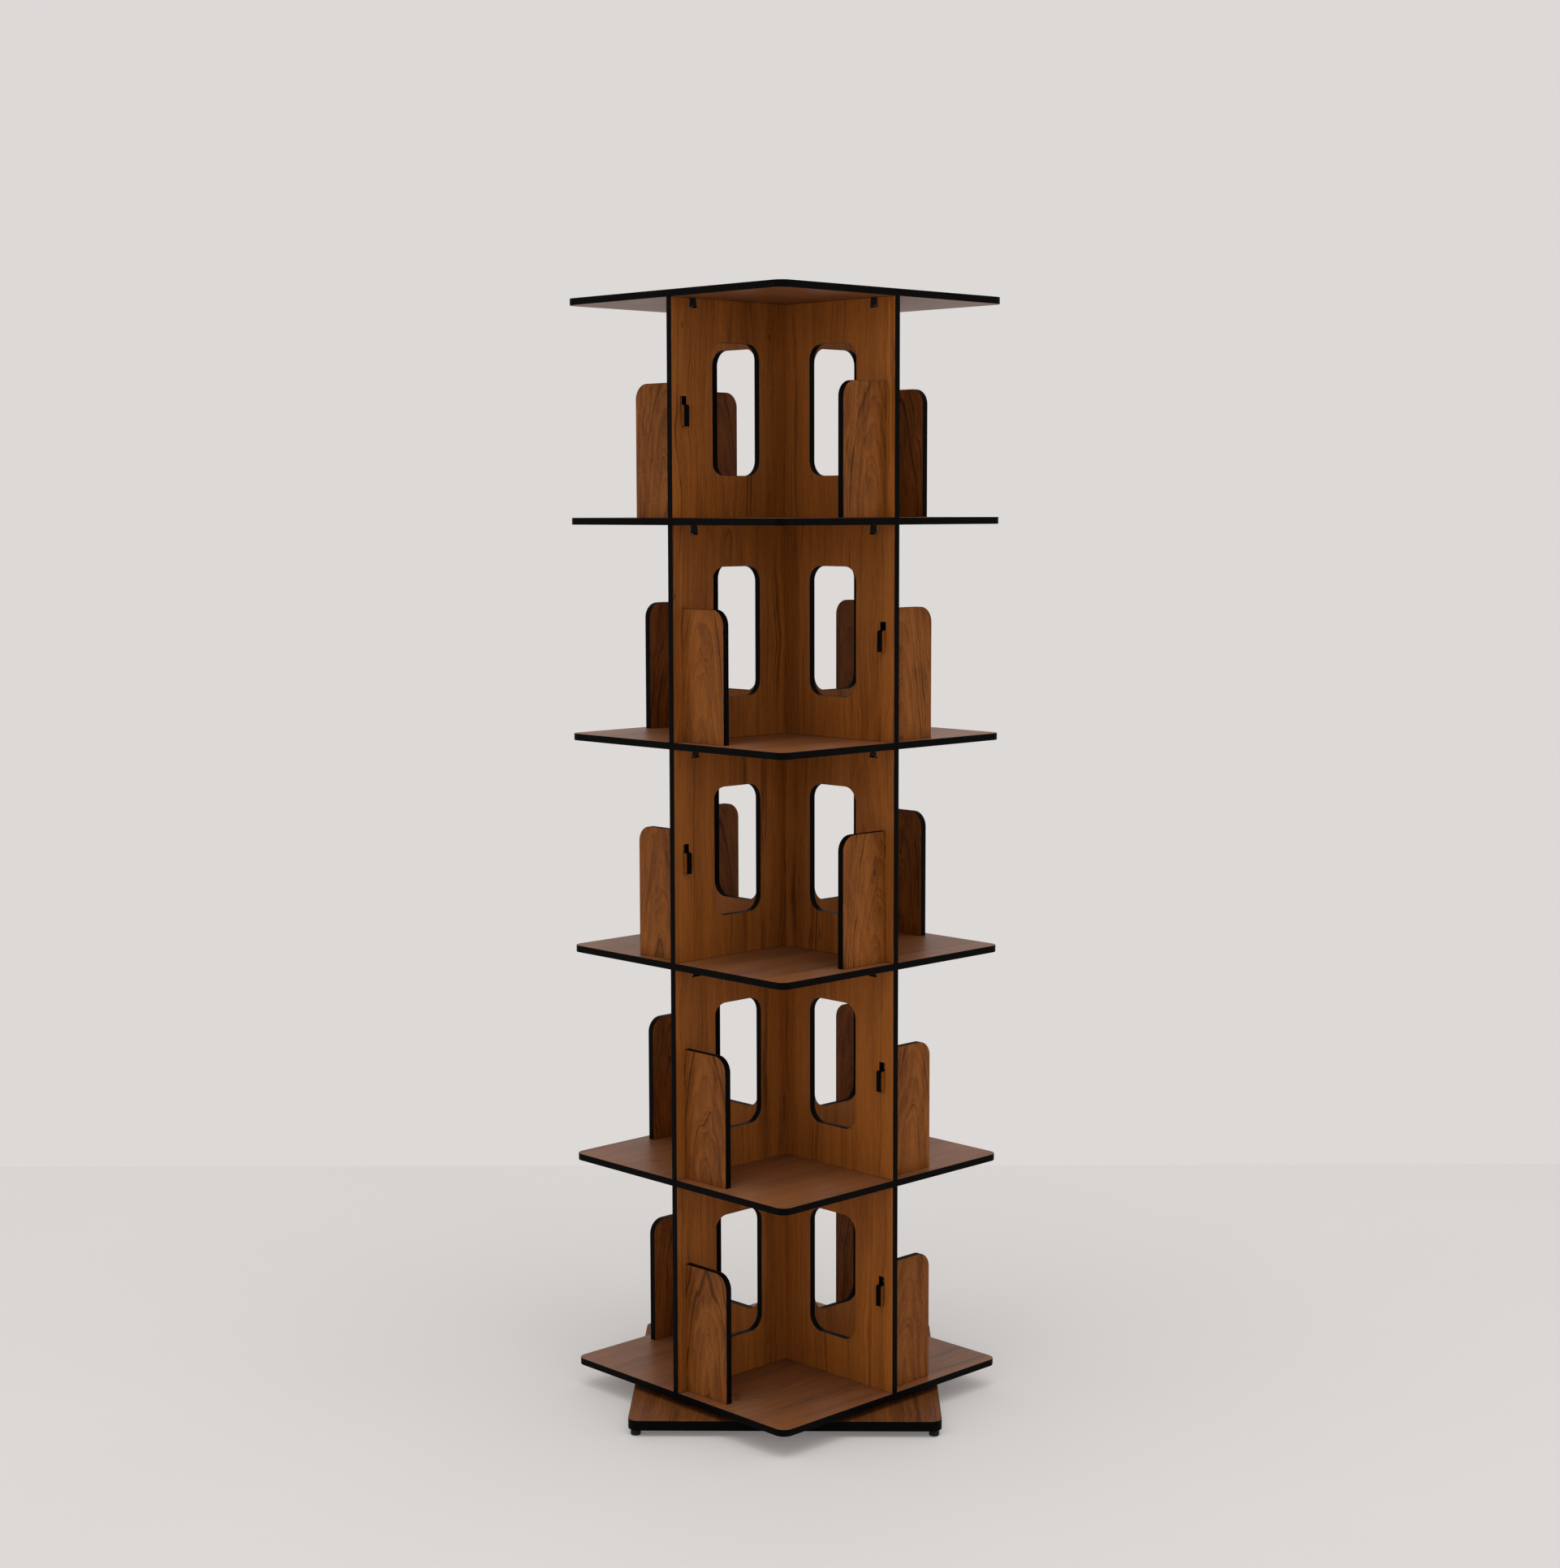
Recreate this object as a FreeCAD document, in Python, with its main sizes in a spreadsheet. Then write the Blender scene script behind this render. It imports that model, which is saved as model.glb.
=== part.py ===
import FreeCAD, Part
import math
import os
import Sketcher

# Revolving five-tier bookcase of thin board, in millimetres.
# +Z is up, and the origin lies on the floor, on the turning axis. X and Y run along the shelves' sides.
# The base plate rests turned against the shelves. The plates and the spine turn on a ball ring between
# the base plate and the bottom shelf. Every size has a cell of its own in the sheet, and each piece is
# tied to the cells.

# Driving sizes in millimetres.
SIZES = {
    # shelf plates and spine
    "plate_side": 400,
    "plate_corner": 14,
    "board": 9,
    "tier_clear": 272,
    # windows in the spine panels
    "window_start": 50,
    "window_width": 83,
    "window_height": 166,
    "window_corner": 20,
    # book stops and the hooks that hang them on the wings
    "stop_width": 76,
    "stop_height": 168,
    "stop_corner": 20,
    "stop_inset": 15,
    "hook_height": 27,
    "hook_drop": 10,
    "hook_lip": 6,
    "hook_round": 3,
    "hook_seat": 123,
    # bolts, the dovetail nuts in the panels' upper edges and the pins in their lower edges
    "bolt_inset": 36,
    "bolt_dia": 4,
    "bolt_head_dia": 8,
    "bolt_tail": 1,
    "nut_mouth": 10.5,
    "nut_floor": 13.5,
    "nut_slot_depth": 12,
    "nut_drop": 1,
    "nut_height": 9,
    "pin_inset": 100,
    "pin_dia": 4,
    "pin_down": 5,
    "pin_up": 9,
    "pin_chamfer": 0.5,
    # base plate and feet
    "base_side": 400,
    "base_corner": 14,
    "base_thick": 13,
    "foot_dia": 13,
    "foot_height": 8,
    "foot_inset": 10,
    "foot_round": 1.2,
    "foot_screw_dia": 3.5,
    "foot_screw_bite": 8,
    "foot_screw_head": 7,
    "foot_screw_head_height": 2,
    "foot_screw_recess": 3,
    # turntable, with the width of each ring outside or inside the race
    "turn_gap": 8,
    "race_radius": 135,
    "ring_outside": 15,
    "ring_inside": 15,
    "race_gap": 2,
    "ball_dia": 4,
    "cage_wall": 1,
    "ring_screw_dia": 4,
    "ring_screw_head": 7,
    "ring_screw_bite": 5,
    "access_dia": 14,
    # clearances
    "lap_clearance": 0.1,
    "pilot_spare": 0.5,
    "hook_clearance": 0.3,
    "bolt_clearance": 0.3,
    "nut_clearance": 0.2,
    "thread_clearance": 0.05,
    "ball_clearance": 0.1,
    "ring_clearance": 1,
    "cage_clearance": 1,
    "overrun": 5,
}

BASE_TURN_DEG = 45
# The inner ring is turned so that its screws stay clear of the bolts in line with the wings.
RING_TURN_DEG = 45
TIERS = 5
WINGS = 4
BALLS = 24
RING_SCREWS = 6

# Side of its wing on which each tier's stops stand, from the bottom tier up: 1 anticlockwise, -1 clockwise.
STOP_SIDES = (1, 1, -1, 1, -1)
BAYS = ("right", "back", "left", "front")


class Length:
    """A length with the expression that ties it to the sheet."""

    def __init__(self, value, text):
        self.value = float(value)
        self.text = text

    def __add__(self, other):
        return Length(self.value + other.value, f"({self.text} + {other.text})")

    def __sub__(self, other):
        return Length(self.value - other.value, f"({self.text} - {other.text})")

    def __neg__(self):
        return Length(-self.value, f"(0 - {self.text})")

    def __mul__(self, factor):
        return Length(self.value * factor, f"({self.text} * {factor!r})")

    def __truediv__(self, factor):
        return Length(self.value / factor, f"({self.text} / {factor!r})")

    def in_ratio(self, part, whole):
        """This length times the ratio of two others."""
        return Length(self.value * part.value / whole.value, f"({self.text} * {part.text} / {whole.text})")


ZERO = Length(0, "0")
doc = FreeCAD.newDocument("Bookcase")
sheet = doc.addObject("Spreadsheet::Sheet", "Sizes")
for row, (alias, value) in enumerate(SIZES.items(), start=1):
    sheet.set(f"A{row}", alias)
    sheet.set(f"B{row}", str(value))
    sheet.setAlias(f"B{row}", alias)
doc.recompute()


def size(alias):
    """The named size as a length tied to its cell."""
    return Length(SIZES[alias], f"Sizes.{alias}")


BOARD = size("board")
HALF_PLATE = size("plate_side") / 2
TIER_CLEAR = size("tier_clear")
TIER_PITCH = TIER_CLEAR + BOARD
OVERRUN = size("overrun")

# Heights from the floor up.
BASE_BOTTOM = size("foot_height")
BASE_TOP = BASE_BOTTOM + size("base_thick")
RACE_HEIGHT = BASE_TOP + size("turn_gap") / 2
CAROUSEL_BOTTOM = BASE_TOP + size("turn_gap")
FIRST_SHELF_TOP = CAROUSEL_BOTTOM + BOARD

# Places along a wing, from the turning axis.
BOLT_REACH = HALF_PLATE - size("bolt_inset")
PIN_REACH = HALF_PLATE - size("pin_inset")
STOP_REACH = HALF_PLATE - size("stop_inset") - BOARD / 2

BOLT_HOLE = size("bolt_dia") + size("bolt_clearance") * 2
BOLT_THREAD = size("bolt_dia") + size("thread_clearance") * 2
BOLT_BITE = size("nut_drop") + size("nut_height") + size("bolt_tail")
PIN_HOLE = size("pin_dia") + size("thread_clearance") * 2
RING_HEIGHT = size("turn_gap") - size("ring_clearance")

pieces = []


def shelf_top(tier):
    """Height of the top face of the plate under a tier, counted from 0 at the bottom."""
    return FIRST_SHELF_TOP + TIER_PITCH * tier


def new_body(label):
    """A body whose label names its piece."""
    body = doc.addObject("PartDesign::Body", label)
    body.Label = label
    return body


def origin_feature(body, role):
    """One of a body's own base planes or axes."""
    return next(feature for feature in body.Origin.OriginFeatures if feature.Role == role)


def new_sketch(body, name, role="XY_Plane", lift=None):
    """A sketch on one of the body's base planes, lifted along the plane's normal if asked."""
    sketch = body.newObject("Sketcher::SketchObject", name)
    sketch.AttachmentSupport = [(origin_feature(body, role), "")]
    sketch.MapMode = "FlatFace"
    if lift is not None:
        sketch.setExpression("AttachmentOffset.Base.z", lift.text)
    return sketch


def pin(sketch, item, point, x, y):
    """Tie one point of a sketch to two lengths from the sketch's origin."""
    for kind, length in (("DistanceX", x), ("DistanceY", y)):
        rule = sketch.addConstraint(Sketcher.Constraint(kind, -1, 1, item, point, length.value))
        sketch.setExpression(f"Constraints[{rule}]", length.text)


def add_outline(sketch, corners):
    """A closed outline of straight sides through the given corners."""
    first = sketch.GeometryCount
    count = len(corners)
    points = [FreeCAD.Vector(x.value, y.value, 0) for x, y in corners]
    sketch.addGeometry([Part.LineSegment(points[k], points[(k + 1) % count]) for k in range(count)], False)
    for k in range(count):
        sketch.addConstraint(Sketcher.Constraint("Coincident", first + k, 2, first + (k + 1) % count, 1))
    for k, (x, y) in enumerate(corners):
        pin(sketch, first + k, 1, x, y)


def add_rectangle(sketch, left, low, right, high):
    """A rectangle between two opposite corners."""
    add_outline(sketch, [(left, low), (right, low), (right, high), (left, high)])


def add_circle(sketch, x, y, diameter):
    """A circle tied to its centre and diameter."""
    centre = FreeCAD.Vector(x.value, y.value, 0)
    item = sketch.addGeometry(Part.Circle(centre, FreeCAD.Vector(0, 0, 1), diameter.value / 2), False)
    pin(sketch, item, 3, x, y)
    rule = sketch.addConstraint(Sketcher.Constraint("Diameter", item, diameter.value))
    sketch.setExpression(f"Constraints[{rule}]", diameter.text)


def pad(body, name, sketch, length, symmetric=False):
    """Give a sketch its thickness."""
    feature = body.newObject("PartDesign::Pad", name)
    feature.Profile = sketch
    feature.setExpression("Length", length.text)
    if symmetric:
        feature.SideType = "Symmetric"
    return feature


def cut_through(body, name, sketch):
    """Cut a sketch right through the body, both ways."""
    feature = body.newObject("PartDesign::Pocket", name)
    feature.Profile = sketch
    feature.SideType = "Symmetric"
    feature.Type = "ThroughAll"
    return feature


def bore_up(body, name, sketch, depth):
    """Blind holes up into the body from a sketch's circles on its lower face."""
    feature = body.newObject("PartDesign::Pocket", name)
    feature.Profile = sketch
    feature.setExpression("Length", depth.text)
    feature.Reversed = True
    return feature


def drill(body, name, sketch, diameter, depth=None, head=None):
    """Round holes down from a sketch's circles, through or to a depth, countersunk for a head if asked."""
    doc.recompute()
    feature = body.newObject("PartDesign::Hole", name)
    feature.Profile = sketch
    feature.ThreadType = "None"
    feature.DrillPoint = "Flat"
    feature.setExpression("Diameter", diameter.text)
    feature.DepthType = "ThroughAll" if depth is None else "Dimension"
    if depth is not None:
        feature.setExpression("Depth", depth.text)
    if head is not None:
        feature.HoleCutType = "Countersink"
        feature.HoleCutCustomValues = True
        feature.HoleCutCountersinkAngle = 90
        feature.setExpression("HoleCutDiameter", head.text)
    doc.recompute()
    return feature


def revolve(body, name, sketch):
    """Turn a sketch round the body's Z axis."""
    feature = body.newObject("PartDesign::Revolution", name)
    feature.Profile = sketch
    feature.ReferenceAxis = (sketch, ["V_Axis"])
    feature.Angle = 360
    return feature


def repeat_round(body, name, feature, count, sweep=360):
    """Copies of a feature round the body's Z axis."""
    pattern = body.newObject("PartDesign::PolarPattern", name)
    pattern.Originals = [feature]
    pattern.Axis = (origin_feature(body, "Z_Axis"), [""])
    pattern.Angle = sweep
    pattern.Occurrences = count
    body.Tip = pattern
    return pattern


def mirror(body, name, feature):
    """The same feature on the other side of the body's YZ plane."""
    pattern = body.newObject("PartDesign::Mirrored", name)
    pattern.Originals = [feature]
    pattern.MirrorPlane = (origin_feature(body, "YZ_Plane"), [""])
    body.Tip = pattern
    return pattern


def round_edges(body, name, radius, direction, wanted):
    """Round the edges along a direction whose middle points are wanted."""
    doc.recompute()
    base = body.Tip
    names = []
    for number, edge in enumerate(base.Shape.Edges, start=1):
        if not isinstance(edge.Curve, Part.Line):
            continue
        along = abs(edge.tangentAt(edge.FirstParameter).dot(direction))
        if math.isclose(along, 1) and wanted(edge.CenterOfMass):
            names.append(f"Edge{number}")
    if not names:
        raise RuntimeError(f"{body.Label}: no edges found for {name}")
    feature = body.newObject("PartDesign::Fillet", name)
    feature.Base = (base, names)
    feature.setExpression("Radius", radius.text)
    return feature


def place(piece, x=ZERO, y=ZERO, z=ZERO, turn_deg=0, flipped=False):
    """Put a piece where it belongs: flipped about X if asked, turned about Z, then moved."""
    turn = FreeCAD.Rotation(FreeCAD.Vector(0, 0, 1), turn_deg)
    if flipped:
        turn = turn.multiply(FreeCAD.Rotation(FreeCAD.Vector(1, 0, 0), 180))
    piece.Placement = FreeCAD.Placement(FreeCAD.Vector(x.value, y.value, z.value), turn)
    for axis, length in (("x", x), ("y", y), ("z", z)):
        piece.setExpression(f"Placement.Base.{axis}", length.text)


def keep(piece):
    """List a piece among those that are handed over."""
    pieces.append(piece)
    return piece


def group(label, master, places):
    """Like pieces as separate solids in one piece: a copy of the master at each place."""
    doc.recompute()
    copies = []
    for spot, turn_deg, flipped in places:
        copy = master.Shape.copy()
        turn = FreeCAD.Rotation(FreeCAD.Vector(0, 0, 1), turn_deg)
        flip = FreeCAD.Rotation(FreeCAD.Vector(1, 0, 0), 180 if flipped else 0)
        copy.Placement = FreeCAD.Placement(spot, turn.multiply(flip))
        copies.append(copy)
    piece = doc.addObject("Part::Feature", label)
    piece.Label = label
    piece.Shape = Part.makeCompound(copies)
    piece.Placement = FreeCAD.Placement()
    return keep(piece)


def round_places(radius, count, start_deg, z, flipped=False):
    """Even places on a circle about the turning axis, each turned to face outwards."""
    places = []
    for k in range(count):
        turn_deg = start_deg + 360 * k / count
        angle = math.radians(turn_deg)
        spot = FreeCAD.Vector(radius.value * math.cos(angle), radius.value * math.sin(angle), z.value)
        places.append((spot, turn_deg, flipped))
    return places


def wing_circles(sketch, reach, diameter):
    """One circle on each wing, at the same reach from the turning axis."""
    for x, y in ((reach, ZERO), (ZERO, reach), (-reach, ZERO), (ZERO, -reach)):
        add_circle(sketch, x, y, diameter)


def square_plate(label, side, corner, thickness):
    """A square plate with rounded corners, its lower face on the XY plane."""
    body = new_body(label)
    outline = new_sketch(body, f"{label}_outline")
    add_rectangle(outline, -side / 2, -side / 2, side / 2, side / 2)
    pad(body, f"{label}_board", outline, thickness)
    round_edges(body, f"{label}_corners", corner, FreeCAD.Vector(0, 0, 1), lambda middle: True)
    return body


def plate(label, z, flipped=False, pins=False, ring_holes=False):
    """A shelf plate countersunk for its bolts, with holes for pins or for the ring's screws if asked."""
    body = square_plate(label, size("plate_side"), size("plate_corner"), BOARD)
    holes = new_sketch(body, f"{label}_bolt_places", lift=BOARD)
    wing_circles(holes, BOLT_REACH, BOLT_HOLE)
    head = size("bolt_head_dia") + size("thread_clearance") * 2
    drill(body, f"{label}_bolt_holes", holes, BOLT_HOLE, head=head)
    if pins:
        spots = new_sketch(body, f"{label}_pin_places", lift=BOARD)
        wing_circles(spots, PIN_REACH, PIN_HOLE)
        drill(body, f"{label}_pin_holes", spots, PIN_HOLE, depth=size("pin_down"))
    if ring_holes:
        pilot = size("ring_screw_dia") + size("thread_clearance") * 2
        spots = new_sketch(body, f"{label}_ring_screw_place", lift=BOARD)
        turn = math.radians(-RING_TURN_DEG if flipped else RING_TURN_DEG)
        add_circle(spots, INNER_SCREW_REACH * math.cos(turn), INNER_SCREW_REACH * math.sin(turn), pilot)
        screw_hole = drill(body, f"{label}_ring_screw_hole", spots, pilot, depth=RING_SCREW_HOLE)
        repeat_round(body, f"{label}_ring_screw_holes", screw_hole, RING_SCREWS)
    place(body, z=z, flipped=flipped)
    return keep(body)


# Turntable rings: the races face each other across the gap, with flanks at 45 degrees to carry the balls.
RACE_FACE_OUT = size("race_radius") + size("race_gap") / 2
RACE_FACE_IN = size("race_radius") - size("race_gap") / 2
RING_RIM = size("race_radius") + size("ring_outside")
RING_BORE = size("race_radius") - size("ring_inside")
FLANK_REACH = (size("ball_dia") / 2 + size("ball_clearance")) * math.sqrt(2)
OUTER_SCREW_REACH = (RACE_FACE_OUT + FLANK_REACH - size("race_gap") / 2 + RING_RIM) / 2
INNER_SCREW_REACH = (RACE_FACE_IN - FLANK_REACH + size("race_gap") / 2 + RING_BORE) / 2
RING_SCREW_HOLE = size("ring_screw_bite") + size("pilot_spare")


def ring(label, wall, face, side, race_height):
    """A turntable ring from its plain wall to its race face; side is 1 where the race opens inwards."""
    body = new_body(label)
    profile = new_sketch(body, f"{label}_profile", "XZ_Plane")
    flank = FLANK_REACH - size("race_gap") / 2
    apex = face + flank * side
    add_outline(profile, [
        (wall, ZERO),
        (wall, RING_HEIGHT),
        (face, RING_HEIGHT),
        (face, race_height + flank),
        (apex, race_height),
        (face, race_height - flank),
        (face, ZERO),
    ])
    revolve(body, f"{label}_turned", profile)
    screw_reach = OUTER_SCREW_REACH if side > 0 else INNER_SCREW_REACH
    spot = new_sketch(body, f"{label}_screw_place", lift=RING_HEIGHT)
    fit = size("thread_clearance") * 2
    add_circle(spot, screw_reach, ZERO, size("ring_screw_dia") + fit)
    screw_hole = drill(
        body, f"{label}_screw_hole", spot, size("ring_screw_dia") + fit, head=size("ring_screw_head") + fit
    )
    repeat_round(body, f"{label}_screw_holes", screw_hole, RING_SCREWS)
    return keep(body)


def countersunk(label, shank, head, length):
    """A countersunk screw: its flat head on the XY plane, its shank down the Z axis."""
    body = new_body(label)
    profile = new_sketch(body, f"{label}_profile", "XZ_Plane")
    add_outline(profile, [
        (ZERO, ZERO),
        (head / 2, ZERO),
        (shank / 2, (shank - head) / 2),
        (shank / 2, -length),
        (ZERO, -length),
    ])
    revolve(body, f"{label}_turned", profile)
    return body


def make_base():
    """The base plate with its feet, their screws and the outer ring of the turntable."""
    label = "base_plate"
    body = square_plate(label, size("base_side"), size("base_corner"), size("base_thick"))
    ring_pilot = size("ring_screw_dia") + size("thread_clearance") * 2
    top_spot = new_sketch(body, f"{label}_ring_screw_place", lift=size("base_thick"))
    add_circle(top_spot, OUTER_SCREW_REACH, ZERO, ring_pilot)
    ring_hole = drill(body, f"{label}_ring_screw_hole", top_spot, ring_pilot, depth=RING_SCREW_HOLE)
    repeat_round(body, f"{label}_ring_screw_holes", ring_hole, RING_SCREWS)
    reach = size("base_side") / 2 - size("foot_inset")
    pilot = size("foot_screw_dia") + size("thread_clearance") * 2
    foot_spots = new_sketch(body, f"{label}_foot_screw_places")
    add_circle(foot_spots, reach, ZERO, pilot)
    add_circle(foot_spots, reach, reach, pilot)
    foot_depth = size("foot_screw_bite") + size("pilot_spare")
    foot_hole = bore_up(body, f"{label}_foot_screw_hole", foot_spots, foot_depth)
    repeat_round(body, f"{label}_foot_screw_holes", foot_hole, WINGS)
    access_spot = new_sketch(body, f"{label}_access_place")
    add_circle(access_spot, ZERO, INNER_SCREW_REACH, size("access_dia"))
    cut_through(body, f"{label}_access_hole", access_spot)
    place(body, z=BASE_BOTTOM, turn_deg=BASE_TURN_DEG)
    keep(body)

    foot = new_body("foot_master")
    profile = new_sketch(foot, "foot_profile", "XZ_Plane")
    recess = size("foot_screw_head") / 2 + size("bolt_clearance")
    hole = pilot / 2
    rim = size("foot_dia") / 2
    soft = size("foot_round")
    add_outline(profile, [
        (recess, ZERO),
        (rim - soft, ZERO),
        (rim, soft),
        (rim, size("foot_height")),
        (hole, size("foot_height")),
        (hole, size("foot_screw_recess")),
        (recess, size("foot_screw_recess")),
    ])
    revolve(foot, "foot_turned", profile)

    screw = new_body("foot_screw_master")
    profile = new_sketch(screw, "foot_screw_profile", "XZ_Plane")
    shank = size("foot_screw_dia") / 2
    top = size("foot_height") + size("foot_screw_bite")
    under = size("foot_screw_recess") - size("foot_screw_head_height")
    add_outline(profile, [
        (ZERO, under),
        (size("foot_screw_head") / 2, under),
        (size("foot_screw_head") / 2, size("foot_screw_recess")),
        (shank, size("foot_screw_recess")),
        (shank, top),
        (ZERO, top),
    ])
    revolve(screw, "foot_screw_turned", profile)

    sides = round_places(reach, WINGS, BASE_TURN_DEG, ZERO)
    corners = round_places(reach * math.sqrt(2), WINGS, BASE_TURN_DEG + 180 / WINGS, ZERO)
    group("base_feet", foot, sides + corners)
    group("foot_screws", screw, sides + corners)


def make_turntable():
    """Two ball rings, the balls and their cage, and the screws that hold the rings."""
    half_gap = size("turn_gap") / 2
    outer = ring("turntable_outer_ring", RING_RIM, RACE_FACE_OUT, 1, half_gap)
    place(outer, z=BASE_TOP, turn_deg=BASE_TURN_DEG)
    inner = ring("turntable_inner_ring", RING_BORE, RACE_FACE_IN, -1, half_gap)
    place(inner, z=CAROUSEL_BOTTOM, turn_deg=RING_TURN_DEG, flipped=True)

    cage = new_body("turntable_ball_cage")
    profile = new_sketch(cage, "cage_profile", "XZ_Plane")
    wall_in = size("race_radius") - size("cage_wall") / 2
    wall_out = size("race_radius") + size("cage_wall") / 2
    half_cage = half_gap - size("cage_clearance")
    add_rectangle(profile, wall_in, -half_cage, wall_out, half_cage)
    revolve(cage, "cage_turned", profile)
    pocket = new_sketch(cage, "cage_pocket_place", "XZ_Plane")
    add_circle(pocket, ZERO, ZERO, size("ball_dia") + size("ball_clearance") * 2)
    pair = cut_through(cage, "cage_pocket_pair", pocket)
    repeat_round(cage, "cage_pockets", pair, BALLS // 2, 180 - 360 / BALLS)
    place(cage, z=RACE_HEIGHT)
    keep(cage)

    ball = doc.addObject("Part::Sphere", "ball_master")
    ball.setExpression("Radius", (size("ball_dia") / 2).text)
    group("turntable_balls", ball, round_places(size("race_radius"), BALLS, 90, RACE_HEIGHT))

    length = RING_HEIGHT + size("ring_screw_bite")
    screw = countersunk("ring_screw_master", size("ring_screw_dia"), size("ring_screw_head"), length)
    lower_head = BASE_TOP + RING_HEIGHT
    upper_head = CAROUSEL_BOTTOM - RING_HEIGHT
    group("ring_screws_lower", screw, round_places(OUTER_SCREW_REACH, RING_SCREWS, BASE_TURN_DEG, lower_head))
    upper = round_places(INNER_SCREW_REACH, RING_SCREWS, RING_TURN_DEG, upper_head, True)
    group("ring_screws_upper", screw, upper)


def dovetail(depth):
    """Half width of a nut slot at a depth under a panel's upper edge."""
    flare = (size("nut_floor") - size("nut_mouth")) / 2
    return size("nut_mouth") / 2 + flare.in_ratio(depth, size("nut_slot_depth"))


def nut_slot():
    """Outline of the nut slot in a wing's upper edge, wider at its floor than at its mouth."""
    floor = TIER_CLEAR - size("nut_slot_depth")
    half = [
        (dovetail(ZERO), TIER_CLEAR + OVERRUN),
        (dovetail(ZERO), TIER_CLEAR),
        (dovetail(size("nut_slot_depth")), floor),
    ]
    right = [(BOLT_REACH + x, z) for x, z in half]
    left = [(BOLT_REACH - x, z) for x, z in reversed(half)]
    return right + left


def spine_panel(label, tier, turn_deg, slot_up):
    """One of a tier's two crossing panels; its lap slot opens upwards or downwards."""
    body = new_body(label)
    outline = new_sketch(body, f"{label}_outline", "XZ_Plane")
    add_rectangle(outline, -HALF_PLATE, ZERO, HALF_PLATE, TIER_CLEAR)
    pad(body, f"{label}_board", outline, BOARD, symmetric=True)

    lap = new_sketch(body, f"{label}_lap_place", "XZ_Plane")
    half_lap = BOARD / 2 + size("lap_clearance")
    middle = TIER_CLEAR / 2
    if slot_up:
        add_rectangle(lap, -half_lap, middle - size("lap_clearance"), half_lap, TIER_CLEAR + OVERRUN)
    else:
        add_rectangle(lap, -half_lap, -OVERRUN, half_lap, middle + size("lap_clearance"))
    cut_through(body, f"{label}_lap_slot", lap)

    cuts = new_sketch(body, f"{label}_cut_places", "XZ_Plane")
    add_outline(cuts, nut_slot())
    window_end = size("window_start") + size("window_width")
    window_low = middle - size("window_height") / 2
    window_high = middle + size("window_height") / 2
    add_rectangle(cuts, size("window_start"), window_low, window_end, window_high)
    half_slot = BOARD / 2 + size("hook_clearance")
    slot_top = size("hook_seat") + size("hook_height") + size("hook_clearance") * 2
    add_rectangle(cuts, STOP_REACH - half_slot, size("hook_seat"), STOP_REACH + half_slot, slot_top)
    wing_cuts = cut_through(body, f"{label}_cuts", cuts)
    mirror(body, f"{label}_cuts_both_wings", wing_cuts)

    low_holes = new_sketch(body, f"{label}_low_hole_places")
    reach, width, depth = (PIN_REACH, PIN_HOLE, size("pin_up")) if tier else (BOLT_REACH, BOLT_THREAD, BOLT_BITE)
    add_circle(low_holes, -reach, ZERO, width)
    add_circle(low_holes, reach, ZERO, width)
    bore_up(body, f"{label}_low_holes", low_holes, depth + size("pilot_spare"))

    def at_window(centre):
        """True at the four corners of either window."""
        across = (size("window_start"), window_end)
        up = (window_low, window_high)
        beside = any(math.isclose(abs(centre.x), edge.value) for edge in across)
        return beside and any(math.isclose(centre.z, edge.value) for edge in up)

    round_edges(body, f"{label}_window_corners", size("window_corner"), FreeCAD.Vector(0, 1, 0), at_window)
    place(body, z=shelf_top(tier), turn_deg=turn_deg)
    return keep(body)


def book_stop(label, tier, wing_deg, side):
    """A stop that stands on a shelf: its hook goes through the wing and drops behind it."""
    body = new_body(label)
    outline = new_sketch(body, f"{label}_outline", "XZ_Plane")
    seat = size("hook_seat") + size("hook_clearance")
    neck_top = seat + size("hook_height") - size("hook_drop")
    behind = -BOARD - size("hook_clearance")
    tip = behind - size("hook_lip")
    add_outline(outline, [
        (ZERO, ZERO),
        (size("stop_width"), ZERO),
        (size("stop_width"), size("stop_height")),
        (ZERO, size("stop_height")),
        (ZERO, neck_top),
        (tip, neck_top),
        (tip, seat - size("hook_drop")),
        (behind, seat - size("hook_drop")),
        (behind, seat),
        (ZERO, seat),
    ])
    pad(body, f"{label}_board", outline, BOARD, symmetric=True)

    def at_free_corner(centre):
        """True at the top corner away from the wing."""
        outside = math.isclose(centre.x, size("stop_width").value)
        return outside and math.isclose(centre.z, size("stop_height").value)

    def at_hook_nose(centre):
        """True at the top corner of the hook's lip."""
        return math.isclose(centre.x, tip.value) and math.isclose(centre.z, neck_top.value)

    round_edges(body, f"{label}_corner", size("stop_corner"), FreeCAD.Vector(0, 1, 0), at_free_corner)
    round_edges(body, f"{label}_hook_nose", size("hook_round"), FreeCAD.Vector(0, 1, 0), at_hook_nose)
    along = (round(math.cos(math.radians(wing_deg))), round(math.sin(math.radians(wing_deg))))
    away = (-along[1] * side, along[0] * side)
    x = STOP_REACH * along[0] + BOARD / 2 * away[0]
    y = STOP_REACH * along[1] + BOARD / 2 * away[1]
    place(body, x, y, shelf_top(tier), turn_deg=wing_deg + 90 * side)
    return keep(body)


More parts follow.
